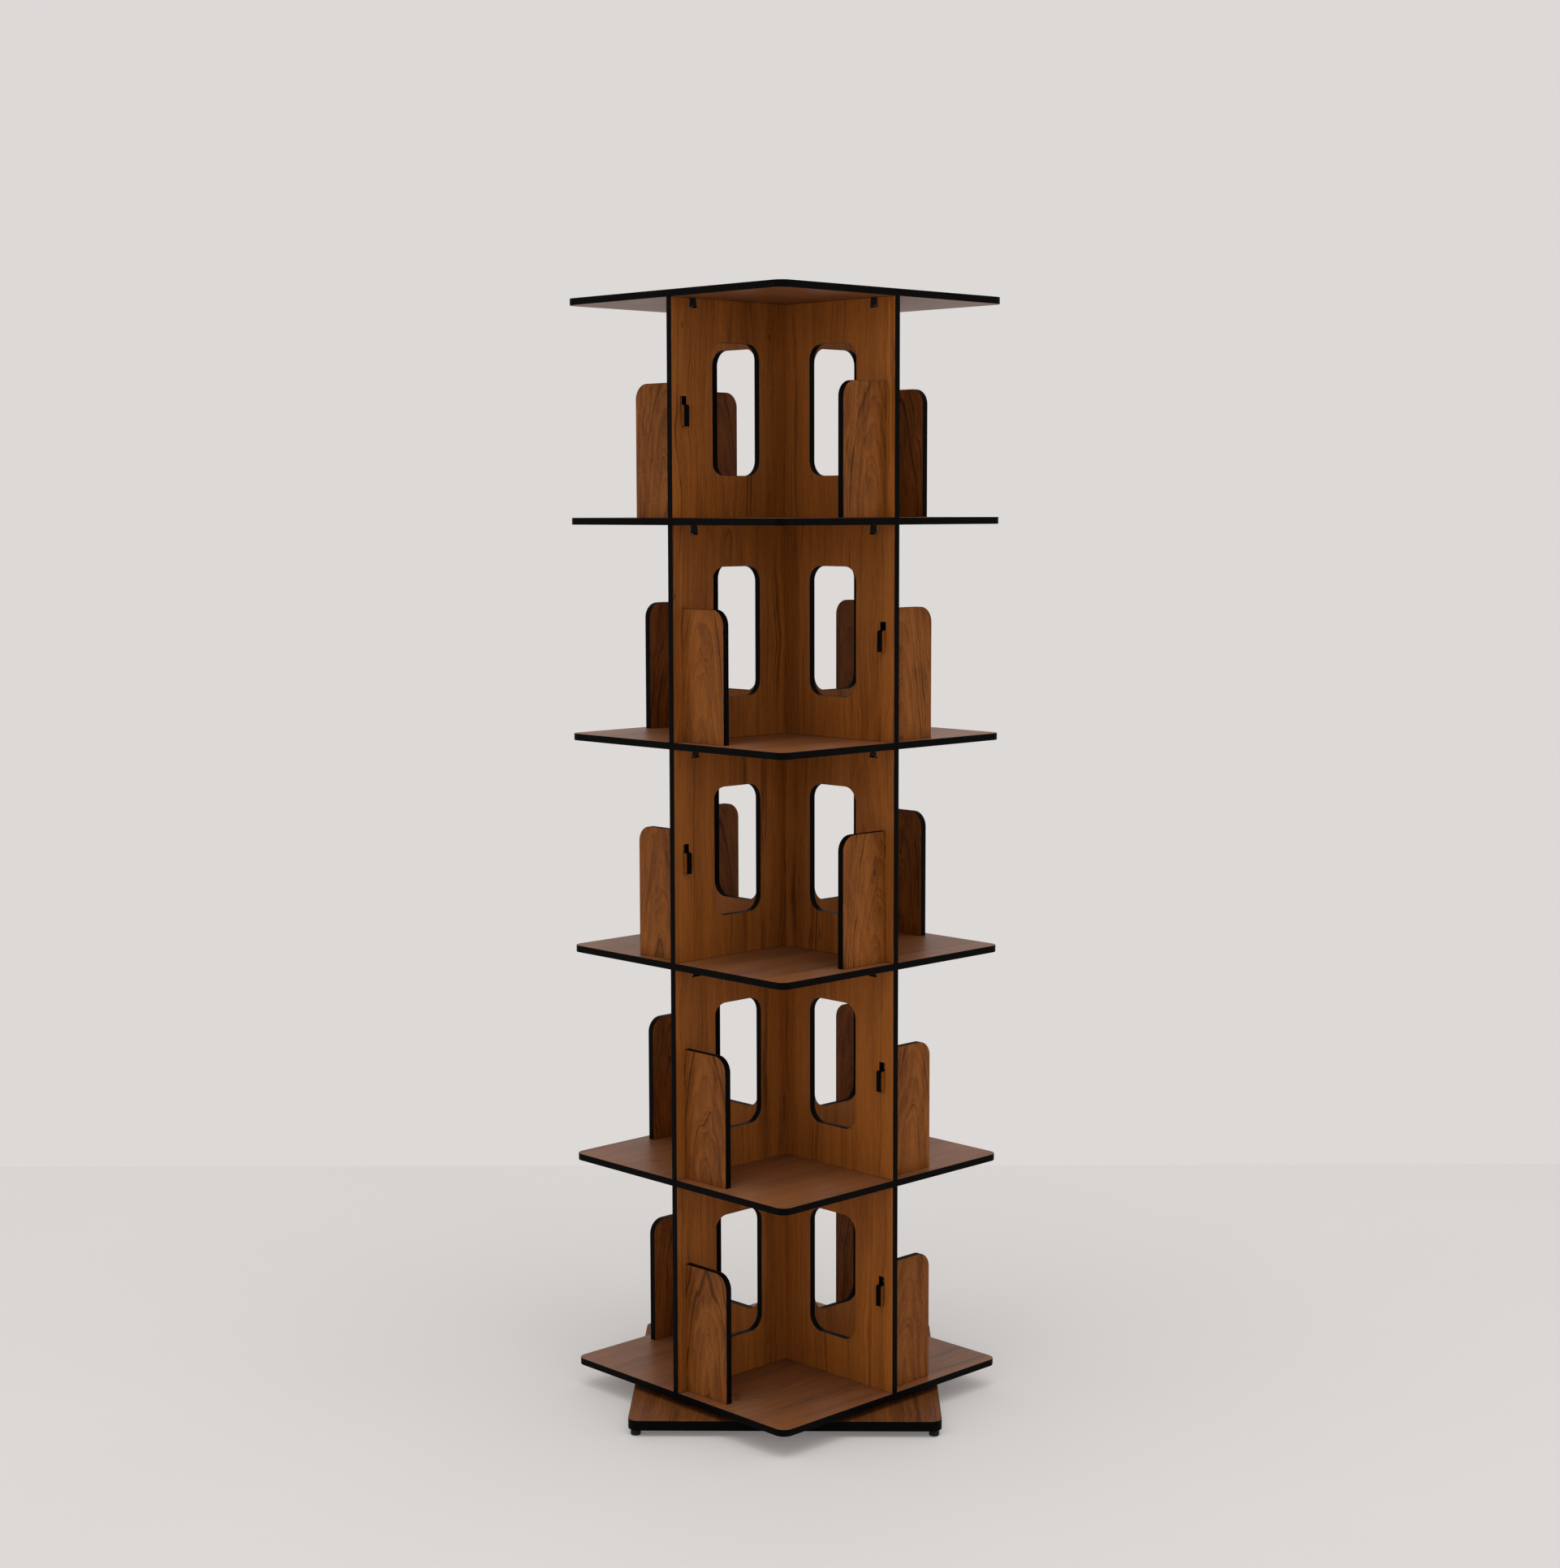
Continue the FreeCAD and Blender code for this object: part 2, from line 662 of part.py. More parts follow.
def make_tiers():
    """Plates, spine panels and book stops, tier by tier."""
    plate("bottom_shelf", FIRST_SHELF_TOP, flipped=True, ring_holes=True)
    for tier in range(1, TIERS):
        plate(f"shelf_{tier + 1}", shelf_top(tier) - BOARD, pins=True)
    plate("top_panel", shelf_top(TIERS) - BOARD)
    for tier in range(TIERS):
        spine_panel(f"spine_panel_{tier + 1}_x", tier, 0, True)
        spine_panel(f"spine_panel_{tier + 1}_y", tier, 90, False)
        for wing in range(WINGS):
            side = STOP_SIDES[tier]
            bay = BAYS[(wing + (1 if side > 0 else 0)) % WINGS]
            book_stop(f"book_stop_{tier + 1}_{bay}", tier, 90 * wing, side)


def make_fasteners():
    """Bolts through the plates, the dovetail nuts that they pull on, and the pins that place the panels."""
    bolt = countersunk("bolt_master", size("bolt_dia"), size("bolt_head_dia"), BOARD + BOLT_BITE)

    nut = new_body("nut_master")
    outline = new_sketch(nut, "nut_outline", "XZ_Plane")
    high = size("nut_drop")
    low = high + size("nut_height")
    wide = dovetail(low) - size("nut_clearance")
    narrow = dovetail(high) - size("nut_clearance")
    add_outline(outline, [(-wide, -low), (wide, -low), (narrow, -high), (-narrow, -high)])
    pad(nut, "nut_block", outline, BOARD, symmetric=True)
    thread = new_sketch(nut, "nut_thread_place")
    add_circle(thread, ZERO, ZERO, BOLT_THREAD)
    cut_through(nut, "nut_thread", thread)

    peg = new_body("pin_master")
    profile = new_sketch(peg, "pin_profile", "XZ_Plane")
    radius = size("pin_dia") / 2
    soft = size("pin_chamfer")
    add_outline(profile, [
        (ZERO, -size("pin_down")),
        (radius - soft, -size("pin_down")),
        (radius, soft - size("pin_down")),
        (radius, size("pin_up") - soft),
        (radius - soft, size("pin_up")),
        (ZERO, size("pin_up")),
    ])
    revolve(peg, "pin_turned", profile)

    ties = []
    nuts = []
    pegs = []
    for tier in range(1, TIERS):
        ties += round_places(BOLT_REACH, WINGS, 0, shelf_top(tier))
        pegs += round_places(PIN_REACH, WINGS, 0, shelf_top(tier))
    for tier in range(1, TIERS + 1):
        nuts += round_places(BOLT_REACH, WINGS, 0, shelf_top(tier) - BOARD)
    ends = round_places(BOLT_REACH, WINGS, 0, shelf_top(TIERS))
    ends += round_places(BOLT_REACH, WINGS, 0, CAROUSEL_BOTTOM, True)
    group("tie_bolts", bolt, ties)
    group("end_bolts", bolt, ends)
    group("captive_nuts", nut, nuts)
    group("locating_pins", peg, pegs)


def check_and_write():
    """Stop at any failed object or bad shape, then write each piece to its own file."""
    doc.recompute()
    failed = [item.Label for item in doc.Objects if "Invalid" in item.State or "Error" in item.State]
    if failed:
        raise RuntimeError(f"failed objects: {failed}")
    for piece in pieces:
        shape = piece.Shape
        if shape.isNull() or not shape.isValid() or not shape.Solids:
            raise RuntimeError(f"bad shape: {piece.Label}")
    os.makedirs("parts", exist_ok=True)
    for piece in pieces:
        piece.Shape.exportStep(os.path.join("parts", f"{piece.Label}.step"))
    print(f"{len(pieces)} pieces written")


make_base()
make_turntable()
make_tiers()
make_fasteners()
check_and_write()
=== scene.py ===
import math
from typing import NamedTuple

import bmesh
import bpy
import numpy as np
from mathutils import Matrix, Vector


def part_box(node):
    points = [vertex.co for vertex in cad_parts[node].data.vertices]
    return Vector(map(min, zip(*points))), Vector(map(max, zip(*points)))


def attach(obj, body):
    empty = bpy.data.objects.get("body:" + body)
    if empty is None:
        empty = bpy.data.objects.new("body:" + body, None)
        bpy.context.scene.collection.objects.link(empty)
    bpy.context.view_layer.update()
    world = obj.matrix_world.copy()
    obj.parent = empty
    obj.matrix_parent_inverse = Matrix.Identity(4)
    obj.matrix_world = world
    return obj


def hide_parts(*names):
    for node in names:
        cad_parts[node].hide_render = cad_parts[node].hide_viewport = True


bl_info = {
    "name": "Revolving bookcase",
    "version": (1, 0, 0),
    "blender": (4, 5, 0),
    "location": "3D View > Sidebar > Bookcase",
    "description": "Dresses the packed revolving bookcase: veneered boards, hardware, turntable and stage",
    "category": "Object",
}

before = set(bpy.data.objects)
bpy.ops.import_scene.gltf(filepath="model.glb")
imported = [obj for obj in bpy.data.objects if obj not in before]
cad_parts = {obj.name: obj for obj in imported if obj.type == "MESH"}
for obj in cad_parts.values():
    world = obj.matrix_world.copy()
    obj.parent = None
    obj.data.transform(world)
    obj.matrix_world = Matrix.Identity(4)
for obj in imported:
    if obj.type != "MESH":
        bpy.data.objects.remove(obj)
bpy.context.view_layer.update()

TIERS = 5
SHELF_PLATES = ["bottom_shelf"] + [f"shelf_{tier}" for tier in range(2, TIERS + 1)] + ["top_panel"]


def even_turns(count, first_deg=0):
    """Turns of so many even places round the axis, in degrees."""
    return [first_deg + 360 * number / count for number in range(count)]


# Turns of the wings and the base's corners, of the middles of the base's sides, of the turntable's screws
# and of its balls.
WING_TURNS_DEG = even_turns(4)
BASE_SIDE_TURNS_DEG = even_turns(4, 45)
RING_SCREW_TURNS_DEG = even_turns(6, 45)
BALL_TURNS_DEG = even_turns(24)

# Directions in the shared frame.
ALONG_X = np.array((1.0, 0.0, 0.0))
ALONG_Y = np.array((0.0, 1.0, 0.0))
UPRIGHT = np.array((0.0, 0.0, 1.0))
FRONT_TO_BACK = np.array((1.0, 1.0, 0.0)) / math.sqrt(2)
ACROSS_BASE = np.array((1.0, -1.0, 0.0)) / math.sqrt(2)

# Camera fitted to the corners of the plates and the base and to the wing ends: lengths in metres, turns in
# degrees.
PICTURE_HEIGHT_PX = 1932
FOCAL_LENGTH_PX = 3173.96
SENSOR_MM = 36
CAMERA_DISTANCE = 3.3655
CAMERA_HEIGHT = 1.1745
VIEW_TURN_DEG = -44.267
CAMERA_YAW_DEG = 0.122
CAMERA_PITCH_DEG = -6.123
CAMERA_ROLL_DEG = 0.124
# An unturned camera looks straight down.
DOWN_TO_LEVEL_DEG = 90

# Points within this distance, in metres, are joined, and flat faces within this angle become one.
JOIN_DISTANCE = 1e-5
FLAT_ANGLE = math.radians(0.5)
# Edges sharper than this are shaded as edges on turned pieces and nuts.
SHARP_ANGLE = math.radians(40)
# Edges sharper than this stay sharp on a board whose faces already have rounds.
CORNER_ANGLE = math.radians(50)
# Outlines shorter than this, in metres, get no rounds, and an outline has at most two to this power of
# points.
SMALL_OUTLINE = 0.06
LOOP_DOUBLINGS = 12
# Least square of the sum of two inward normals, which limits how far a sharp corner draws back.
SHARPEST_CORNER = 0.5

# Number of points round a foot and round the slimmer turned pieces, and of rows from pole to pole of a ball.
ROUND_POINTS = 32
SLIM_POINTS = 24
BALL_ROWS = 17


# Settings that a user can change.

def from_srgb(red, green, blue):
    """Linear colour of an 8-bit screen colour, by the standard's own curve."""
    shares = np.array((red, green, blue)) / 255
    return tuple(np.where(shares <= 0.04045, shares / 12.92, ((shares + 0.055) / 1.055) ** 2.4).tolist())


def colour_property(name, description, default):
    """A colour that a user can pick."""
    return bpy.props.FloatVectorProperty(
        name=name, description=description, subtype="COLOR", size=3, min=0, max=1, default=default
    )


def length_property(name, description, default):
    """A length in metres that a user can set."""
    return bpy.props.FloatProperty(name=name, description=description, unit="LENGTH", min=0, default=default)


def share_property(name, description, default):
    """A share from 0 to 1 that a user can set."""
    return bpy.props.FloatProperty(
        name=name, description=description, subtype="FACTOR", min=0, max=1, default=default
    )


def power_property(name, description, default):
    """A lamp's power in watts that a user can set."""
    return bpy.props.FloatProperty(name=name, description=description, unit="POWER", min=0, default=default)


class BoardSettings(bpy.types.PropertyGroup):
    """Sizes and colours of the veneered boards."""

    ease: length_property("Eased edge", "Width of the eased edge along every board", 0.0005)
    veneer_share: share_property("Veneer share", "Share of half the board that is veneer", 0.02)
    ring_spacing: length_property("Ring spacing", "Distance between growth rings in the figure", 0.0125)
    light_wood: colour_property("Light wood", "Early wood between the dark lines", from_srgb(172, 101, 41))
    dark_wood: colour_property("Dark wood", "Late wood and dark streaks", from_srgb(77, 40, 13))
    core: colour_property("Core", "Black core that shows on every cut edge", from_srgb(7, 6, 6))
    # Lighter core along the eased edges: partly wear, partly a painted highlight.
    worn_core_and_highlight: colour_property("Worn core", "Core rubbed along the eased edges", from_srgb(58, 50, 45))
    # A greyish colour mixed into the boards: partly dust, partly painted sheen standing for the pale
    # reflection along the plates' tops.
    dust_and_sheen: colour_property("Dust", "Greyish bloom on the plates", from_srgb(112, 92, 80))
    roughness: share_property("Roughness", "Roughness of the veneer under its lacquer", 0.42)


class HardwareSettings(bpy.types.PropertyGroup):
    """Sizes and colours of the feet, fasteners and turntable."""

    bolt_dia: length_property("Bolt", "Diameter of a bolt's shank", 0.004)
    bolt_head_dia: length_property("Bolt head", "Diameter of a bolt's countersunk head", 0.008)
    socket_flats: length_property("Socket", "Width of the hexagon socket in a bolt or ring screw", 0.0025)
    ring_screw_head_dia: length_property("Ring screw head", "Diameter of a ring screw's head", 0.007)
    ball_dia: length_property("Ball", "Diameter of a turntable ball", 0.004)
    foot_dia: length_property("Foot", "Diameter of a foot", 0.013)
    black_steel: colour_property("Black steel", "Blackened steel of the fasteners", (0.022, 0.021, 0.02))
    worn_steel: colour_property("Worn steel", "Bare steel on worn edges", (0.42, 0.4, 0.37))
    rubber: colour_property("Foot colour", "Moulded black feet", (0.006, 0.006, 0.006))
    turned_metal: colour_property("Turned metal", "Turned rings of the turntable", (0.52, 0.52, 0.54))
    ball_steel: colour_property("Ball steel", "Polished balls", (0.68, 0.68, 0.7))
    cage: colour_property("Cage", "Moulded ball cage", (0.045, 0.045, 0.05))


class StageSettings(bpy.types.PropertyGroup):
    """Floor, light and background."""

    floor_colour: colour_property("Floor", "Plain pale floor", from_srgb(226, 222, 219))
    wall_colour: colour_property("Background", "Pale background", from_srgb(221, 217, 215))
    floor_reach: length_property("Floor reach", "Reach of the floor to the sides and the front", 7.0)
    floor_back: length_property("Floor back edge", "Reach of the floor behind the turning axis", 1.16)
    sky: bpy.props.FloatProperty(
        name="Sky", description="Strength of the even soft light", min=0, default=0.72
    )
    key: power_property("Key", "Power of the lamp on the right", 40)
    fill: power_property("Fill", "Power of the lamp on the left", 36)


# Shader nodes.

VECTOR = "NodeSocketVector"
NUMBER = "NodeSocketFloat"
COLOUR = "NodeSocketColor"
# Leaves out a vector's third part.
LEVEL = (1.0, 1.0, 0.0)


def fill_inputs(tree, node, inputs):
    """Fill a node's inputs with values or links."""
    for key, value in inputs.items():
        if isinstance(value, bpy.types.NodeSocket):
            tree.links.new(value, node.inputs[key])
        else:
            node.inputs[key].default_value = value


def add_node(tree, kind, inputs, **settings):
    """Place a node, apply its settings and fill its inputs."""
    node = tree.nodes.new(kind)
    for name, value in settings.items():
        setattr(node, name, value)
    fill_inputs(tree, node, inputs)
    return node


def calc(tree, operation, *values, clamp=False):
    """Result of one math node."""
    node = add_node(tree, "ShaderNodeMath", dict(enumerate(values)), operation=operation, use_clamp=clamp)
    return node.outputs[0]


def sum_of(tree, start, *parts):
    """A start value plus each part, which is a weight and the value that it weighs."""
    total = start
    for weight, value in parts:
        total = calc(tree, "MULTIPLY_ADD", value, weight, total)
    return total


def even(cells):
    """The same number along all three parts of a vector."""
    return (cells, cells, cells)


def stretch(tree, vector, scales):
    """A vector with each part multiplied."""
    node = add_node(tree, "ShaderNodeVectorMath", {0: vector, 1: scales}, operation="MULTIPLY")
    return node.outputs[0]


def length_of(tree, vector):
    """Length of a vector."""
    return add_node(tree, "ShaderNodeVectorMath", {0: vector}, operation="LENGTH").outputs["Value"]


def noise_node(tree, vector, cells, detail, roughness):
    """Noise over a vector, at so many cells to the metre along each part."""
    inputs = {"Vector": stretch(tree, vector, cells), "Scale": 1.0, "Detail": detail, "Roughness": roughness}
    return add_node(tree, "ShaderNodeTexNoise", inputs)


def noise(tree, vector, cells, detail, roughness=0.5):
    """Noise from 0 to 1 over a vector."""
    return noise_node(tree, vector, cells, detail, roughness).outputs[0]


def line_noise(tree, value, cells, detail):
    """Noise from 0 to 1 along one value, at so many cells to the metre."""
    inputs = {"W": value, "Scale": cells, "Detail": detail}
    return add_node(tree, "ShaderNodeTexNoise", inputs, noise_dimensions="1D").outputs[0]


def between(tree, value, low, high):
    """0 at the low value and beyond it, 1 at the high one and beyond it, smooth between."""
    inputs = {"Value": value, "From Min": low, "From Max": high}
    return add_node(tree, "ShaderNodeMapRange", inputs, interpolation_type="SMOOTHSTEP").outputs[0]


def blend(tree, share, first, second, mode="MIX"):
    """A colour between two, by a share of the second."""
    inputs = {0: share, 6: first, 7: second}
    node = add_node(tree, "ShaderNodeMix", inputs, data_type="RGBA", blend_type=mode)
    return node.outputs[2]


def opaque(colour):
    """A colour with full alpha, as sockets take it."""
    return (*colour, 1.0)


def toned(tree, colour, tone):
    """A plain colour made lighter or darker by a tone that changes over the surface."""
    return blend(tree, 1.0, opaque(colour), tone, "MULTIPLY")


def attribute(tree, name, output):
    """A value carried by the piece itself."""
    return add_node(tree, "ShaderNodeAttribute", {}, attribute_name=name).outputs[output]


def bump(tree, height, strength, distance):
    """Normals of a surface that a height raises a little."""
    inputs = {"Height": height, "Strength": strength, "Distance": distance}
    return add_node(tree, "ShaderNodeBump", inputs).outputs[0]


# Node groups.

def new_group(name, inputs, outputs):
    """An empty node group with named sockets, the values that it is given, and the node of what it makes."""
    group = bpy.data.node_groups.new(name, "ShaderNodeTree")
    for label, kind in inputs:
        group.interface.new_socket(name=label, in_out="INPUT", socket_type=kind)
    for label, kind in outputs:
        group.interface.new_socket(name=label, in_out="OUTPUT", socket_type=kind)
    return group, group.nodes.new("NodeGroupInput").outputs, group.nodes.new("NodeGroupOutput")


def group_of(name, make):
    """The named node group, made on first use."""
    return bpy.data.node_groups.get(name) or make(name)


# Growth rings: cells to the metre of their unevenness and the share of a ring for which a line stays full.
# For the dark lines and for the softer ones: the unevenness in rings and the shares of a ring at which a
# line starts and is full.
RING_CELLS = 55.0
RING_FULL = 0.01
DARK_LINES = (3.4, 0.72, 0.95)
SOFT_LINES = (5.0, 0.2, 0.9)
SOFT_LINES_TO_A_RING = 2.7

# Cells of the figure to the metre across the grain, in depth and along the grain, and reach of the sway in
# metres.
SWAY_CELLS = (16.0, 16.0, 5.0)
SWAY_REACH = (0.03, 0.03, 0.0)
FIBRE_CELLS = (900.0, 900.0, 14.0)
KNOT_CELLS = (22.0, 22.0, 9.0)
# Distances, in cells, of a knot's rim and of its dark heart from its middle.
KNOT_RIM = 0.055
KNOT_HEART = 0.03
# Other layers of the figure: their cells, the detail of their noise, and the range in which they come in.
FIGURE_LAYERS = {
    "fading": ((26.0, 26.0, 6.0), 2.0, (0.36, 0.62)),
    "bands": ((30.0, 30.0, 0.8), 2.0, (0.32, 0.7)),
    "streaks": ((120.0, 120.0, 1.8), 3.0, (0.3, 0.72)),
    "pores": ((1500.0, 1500.0, 45.0), 1.0, (0.6, 0.7)),
}


def ring_lines(group, from_pith, spacing, unevenness, start, full):
    """Dark lines at uneven distances from the pith: each darkens slowly outwards and stops sharply."""
    uneven = line_noise(group, from_pith, RING_CELLS, detail=1.0)
    rings = sum_of(group, calc(group, "DIVIDE", from_pith, spacing), (unevenness, uneven))
    phase = calc(group, "FRACT", rings)
    darkens = between(group, phase, low=start, high=full)
    stops = between(group, phase, low=1.0, high=full + RING_FULL)
    return calc(group, "MULTIPLY", darkens, stops)


def figure_layer(group, vector, layer):
    """One layer of the figure, from 0 to 1."""
    cells, detail, limits = FIGURE_LAYERS[layer]
    return between(group, noise(group, vector, cells, detail), *limits)


def walnut_figure(name):
    """Figure of sliced walnut: rings about a pith, broad streaks, fibres, pores and pin knots.

    The vector holds the distance across the grain from the pith, the depth from the pith and the place
    along the grain. The distance from the pith, bent by slow noise, is cut into rings. A cut that leans
    against the pith gives arches, and one far from it gives straight lines.
    """
    group, given, made = new_group(
        name,
        [("Veneer", VECTOR), ("Tone", NUMBER), ("Strength", NUMBER), ("Ring Spacing", NUMBER),
         ("Light", COLOUR), ("Dark", COLOUR)],
        [("Colour", COLOUR), ("Height", NUMBER), ("Sheen", NUMBER)],
    )
    place = given["Veneer"]
    sway = noise_node(group, place, SWAY_CELLS, detail=3.0, roughness=0.55).outputs["Color"]
    centred = add_node(group, "ShaderNodeVectorMath", {0: sway, 1: even(0.5)}, operation="SUBTRACT")
    bent = add_node(group, "ShaderNodeVectorMath", {
        0: centred.outputs[0], 1: SWAY_REACH, 2: place,
    }, operation="MULTIPLY_ADD").outputs[0]
    from_pith = length_of(group, stretch(group, bent, LEVEL))
    spacing = given["Ring Spacing"]
    lines = ring_lines(group, from_pith, spacing, *DARK_LINES)
    lines = calc(group, "MULTIPLY", lines, figure_layer(group, place, "fading"))
    tight = calc(group, "DIVIDE", spacing, SOFT_LINES_TO_A_RING)
    soft_lines = ring_lines(group, from_pith, tight, *SOFT_LINES)
    bands = figure_layer(group, bent, "bands")
    streaks = figure_layer(group, bent, "streaks")
    fibres = noise(group, place, FIBRE_CELLS, detail=3.0)
    pores = figure_layer(group, place, "pores")
    from_knot = add_node(group, "ShaderNodeTexVoronoi", {
        "Vector": stretch(group, bent, KNOT_CELLS), "Scale": 1.0,
    }).outputs["Distance"]
    knots = between(group, from_knot, low=KNOT_RIM, high=KNOT_HEART)
    figure = sum_of(group, 0.0, (0.5, lines), (0.17, soft_lines), (0.24, streaks), (0.26, bands))
    depth = sum_of(group, given["Tone"], (given["Strength"], figure))
    depth = sum_of(group, depth, (0.4, calc(group, "SUBTRACT", fibres, 0.5)), (0.2, pores), (0.3, knots))
    depth = calc(group, "ADD", depth, 0.0, clamp=True)
    fill_inputs(group, made, {
        "Colour": blend(group, depth, given["Light"], given["Dark"]),
        "Height": sum_of(group, 0.0, (0.4, fibres), (-0.8, pores)),
        "Sheen": sum_of(group, 0.0, (0.1, depth), (0.08, fibres)),
    })
    return group


def handling_marks(name):
    """Faint smears and scuffs on any surface, as a share that changes slowly with place."""
    group, given, made = new_group(name, [("Place", VECTOR), ("Size", NUMBER)], [("Marks", NUMBER)])
    scaled = add_node(group, "ShaderNodeVectorMath", {
        0: given["Place"], "Scale": given["Size"],
    }, operation="SCALE").outputs[0]
    smears = between(group, noise(group, scaled, even(1.0), detail=4.0, roughness=0.6), low=0.35, high=0.7)
    scuffs = between(group, noise(group, scaled, (6.0, 1.4, 1.0), detail=2.0), low=0.3, high=0.75)
    fill_inputs(group, made, {"Marks": calc(group, "MULTIPLY", smears, scuffs)})
    return group


def marks_in(tree, place, size):
    """Handling marks in a material, at so many cells to the metre."""
    group = group_of("handling_marks", handling_marks)
    marks = add_node(tree, "ShaderNodeGroup", {"Place": place, "Size": size}, node_tree=group)
    return marks.outputs["Marks"]


# Materials.

# Half the width of the step from the core to the veneer, as a share of half a board.
VENEER_STEP = 0.01


def new_material(name):
    """A material with an empty tree, its shader and its object coordinates."""
    material = bpy.data.materials.new(name)
    material.use_nodes = True
    tree = material.node_tree
    tree.nodes.clear()
    shader = tree.nodes.new("ShaderNodeBsdfPrincipled")
    add_node(tree, "ShaderNodeOutputMaterial", {"Surface": shader.outputs[0]})
    place = tree.nodes.new("ShaderNodeTexCoord").outputs["Object"]
    return material, tree, shader, place


def material_of(name, make, *values):
    """The named material, made on first use."""
    return bpy.data.materials.get(name) or make(name, *values)


def walnut_board_material(name, settings):
    """Lacquered walnut veneer on a matt black core that is painted lighter in patches along its eased edges,
    partly as wear and partly as a painted highlight.
    """
    material, tree, shader, place = new_material(name)
    through = calc(tree, "ABSOLUTE", attribute(tree, "board_depth", "Fac"))
    look = attribute(tree, "veneer_look", "Vector")
    tone, strength, dust_and_sheen_share = add_node(tree, "ShaderNodeSeparateXYZ", {0: look}).outputs
    figure = add_node(tree, "ShaderNodeGroup", {
        "Veneer": attribute(tree, "veneer", "Vector"),
        "Tone": tone,
        "Strength": strength,
        "Ring Spacing": settings.ring_spacing,
        "Light": opaque(settings.light_wood),
        "Dark": opaque(settings.dark_wood),
    }, node_tree=group_of("walnut_figure", walnut_figure)).outputs
    skin = 1 - settings.veneer_share
    faced = between(tree, through, low=skin - VENEER_STEP, high=skin + VENEER_STEP)
    # Mixing in the greyish colour gives part dust and part painted sheen.
    wood = blend(tree, dust_and_sheen_share, figure["Colour"], opaque(settings.dust_and_sheen))
    plies = noise(tree, place, even(160.0), detail=3.0)
    core = toned(tree, settings.core, sum_of(tree, 0.75, (0.5, plies)))
    # A lighter colour in patches on the eased edges: partly wear, partly a painted highlight.
    eased = between(tree, through, low=0.88, high=0.94)
    rubbed = between(tree, noise(tree, place, even(50.0), detail=4.0), low=0.52, high=0.7)
    worn = calc(tree, "MULTIPLY", eased, calc(tree, "MULTIPLY", rubbed, 0.6))
    core = blend(tree, worn, core, opaque(settings.worn_core_and_highlight))
    marks = marks_in(tree, place, size=9.0)
    satin = sum_of(tree, settings.roughness, (1.0, figure["Sheen"]), (-0.1, marks))
    matt = sum_of(tree, 0.62, (-0.2, plies))
    rough = add_node(tree, "ShaderNodeMix", {0: faced, 2: matt, 3: satin}, data_type="FLOAT")
    relief = calc(tree, "MULTIPLY", faced, figure["Height"])
    fill_inputs(tree, shader, {
        "Base Color": blend(tree, faced, core, wood),
        "Roughness": rough.outputs[0],
        "Specular IOR Level": 0.03,
        "Coat Weight": calc(tree, "MULTIPLY", faced, attribute(tree, "lacquer", "Fac")),
        "Coat Roughness": 0.4,
        "Normal": bump(tree, relief, strength=0.16, distance=0.0004),
    })
    return material


def black_steel_material(name, settings):
    """Blackened steel, rubbed bright where the wear attribute is high."""
    material, tree, shader, place = new_material(name)
    fleck = noise(tree, place, even(900.0), detail=3.0)
    rub = sum_of(tree, attribute(tree, "wear", "Fac"), (0.5, fleck))
    worn = between(tree, rub, low=0.62, high=0.95)
    fill_inputs(tree, shader, {
        "Base Color": blend(tree, worn, opaque(settings.black_steel), opaque(settings.worn_steel)),
        "Roughness": sum_of(tree, 0.36, (0.22, fleck), (-0.1, worn)),
        "Metallic": 0.9,
        "Normal": bump(tree, fleck, strength=0.12, distance=0.0001),
    })
    return material


def moulded_material(name, colour, grain, roughness):
    """Moulded plastic or rubber with a fine matt grain, in cells to the metre, and faint handling marks."""
    material, tree, shader, place = new_material(name)
    speck = noise(tree, place, even(grain), detail=3.0)
    marks = marks_in(tree, place, size=60.0)
    fill_inputs(tree, shader, {
        "Base Color": toned(tree, colour, sum_of(tree, 0.8, (0.25, speck), (0.6, marks))),
        "Roughness": sum_of(tree, roughness, (0.2, speck)),
        "Specular IOR Level": 0.2,
        "Normal": bump(tree, speck, strength=0.25, distance=0.0002),
    })
    return material


def turned_metal_material(name, colour):
    """Metal turned on a lathe: fine lines round the turning axis."""
    material, tree, shader, place = new_material(name)
    radius = length_of(tree, stretch(tree, place, LEVEL))
    lines = line_noise(tree, radius, cells=3500.0, detail=2.0)
    marks = marks_in(tree, place, size=30.0)
    fill_inputs(tree, shader, {
        "Base Color": toned(tree, colour, sum_of(tree, 0.86, (0.28, lines), (-0.15, marks))),
        "Roughness": sum_of(tree, 0.28, (0.14, lines), (0.14, marks)),
        "Metallic": 1.0,
        "Normal": bump(tree, lines, strength=0.15, distance=0.0001),
    })
    return material


def polished_ball_material(name, colour):
    """Polished steel with faint smears."""
    material, tree, shader, place = new_material(name)
    marks = marks_in(tree, place, size=220.0)
    fill_inputs(tree, shader, {
        "Base Color": toned(tree, colour, sum_of(tree, 1.0, (-0.2, marks))),
        "Roughness": sum_of(tree, 0.08, (0.18, marks)),
        "Metallic": 1.0,
    })
    return material


def board_finish():
    """Walnut board material from the scene's settings."""
    return material_of("walnut_veneer", walnut_board_material, bpy.context.scene.bookcase_boards)


def steel_finish():
    """Blackened steel from the scene's settings."""
    return material_of("blackened_steel", black_steel_material, bpy.context.scene.bookcase_hardware)


# Meshes and pieces.

def add_object(name, data):
    """A new object in the scene."""
    thing = bpy.data.objects.new(name, data)
    bpy.context.scene.collection.objects.link(thing)
    return thing


def new_piece(name, mesh, body, material, node):
    """Put a finished mesh into the scene, on its body and in place of its node."""
    piece = add_object(name, mesh)
    mesh.materials.clear()
    mesh.materials.append(material)
    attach(piece, body)
    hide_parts(node)


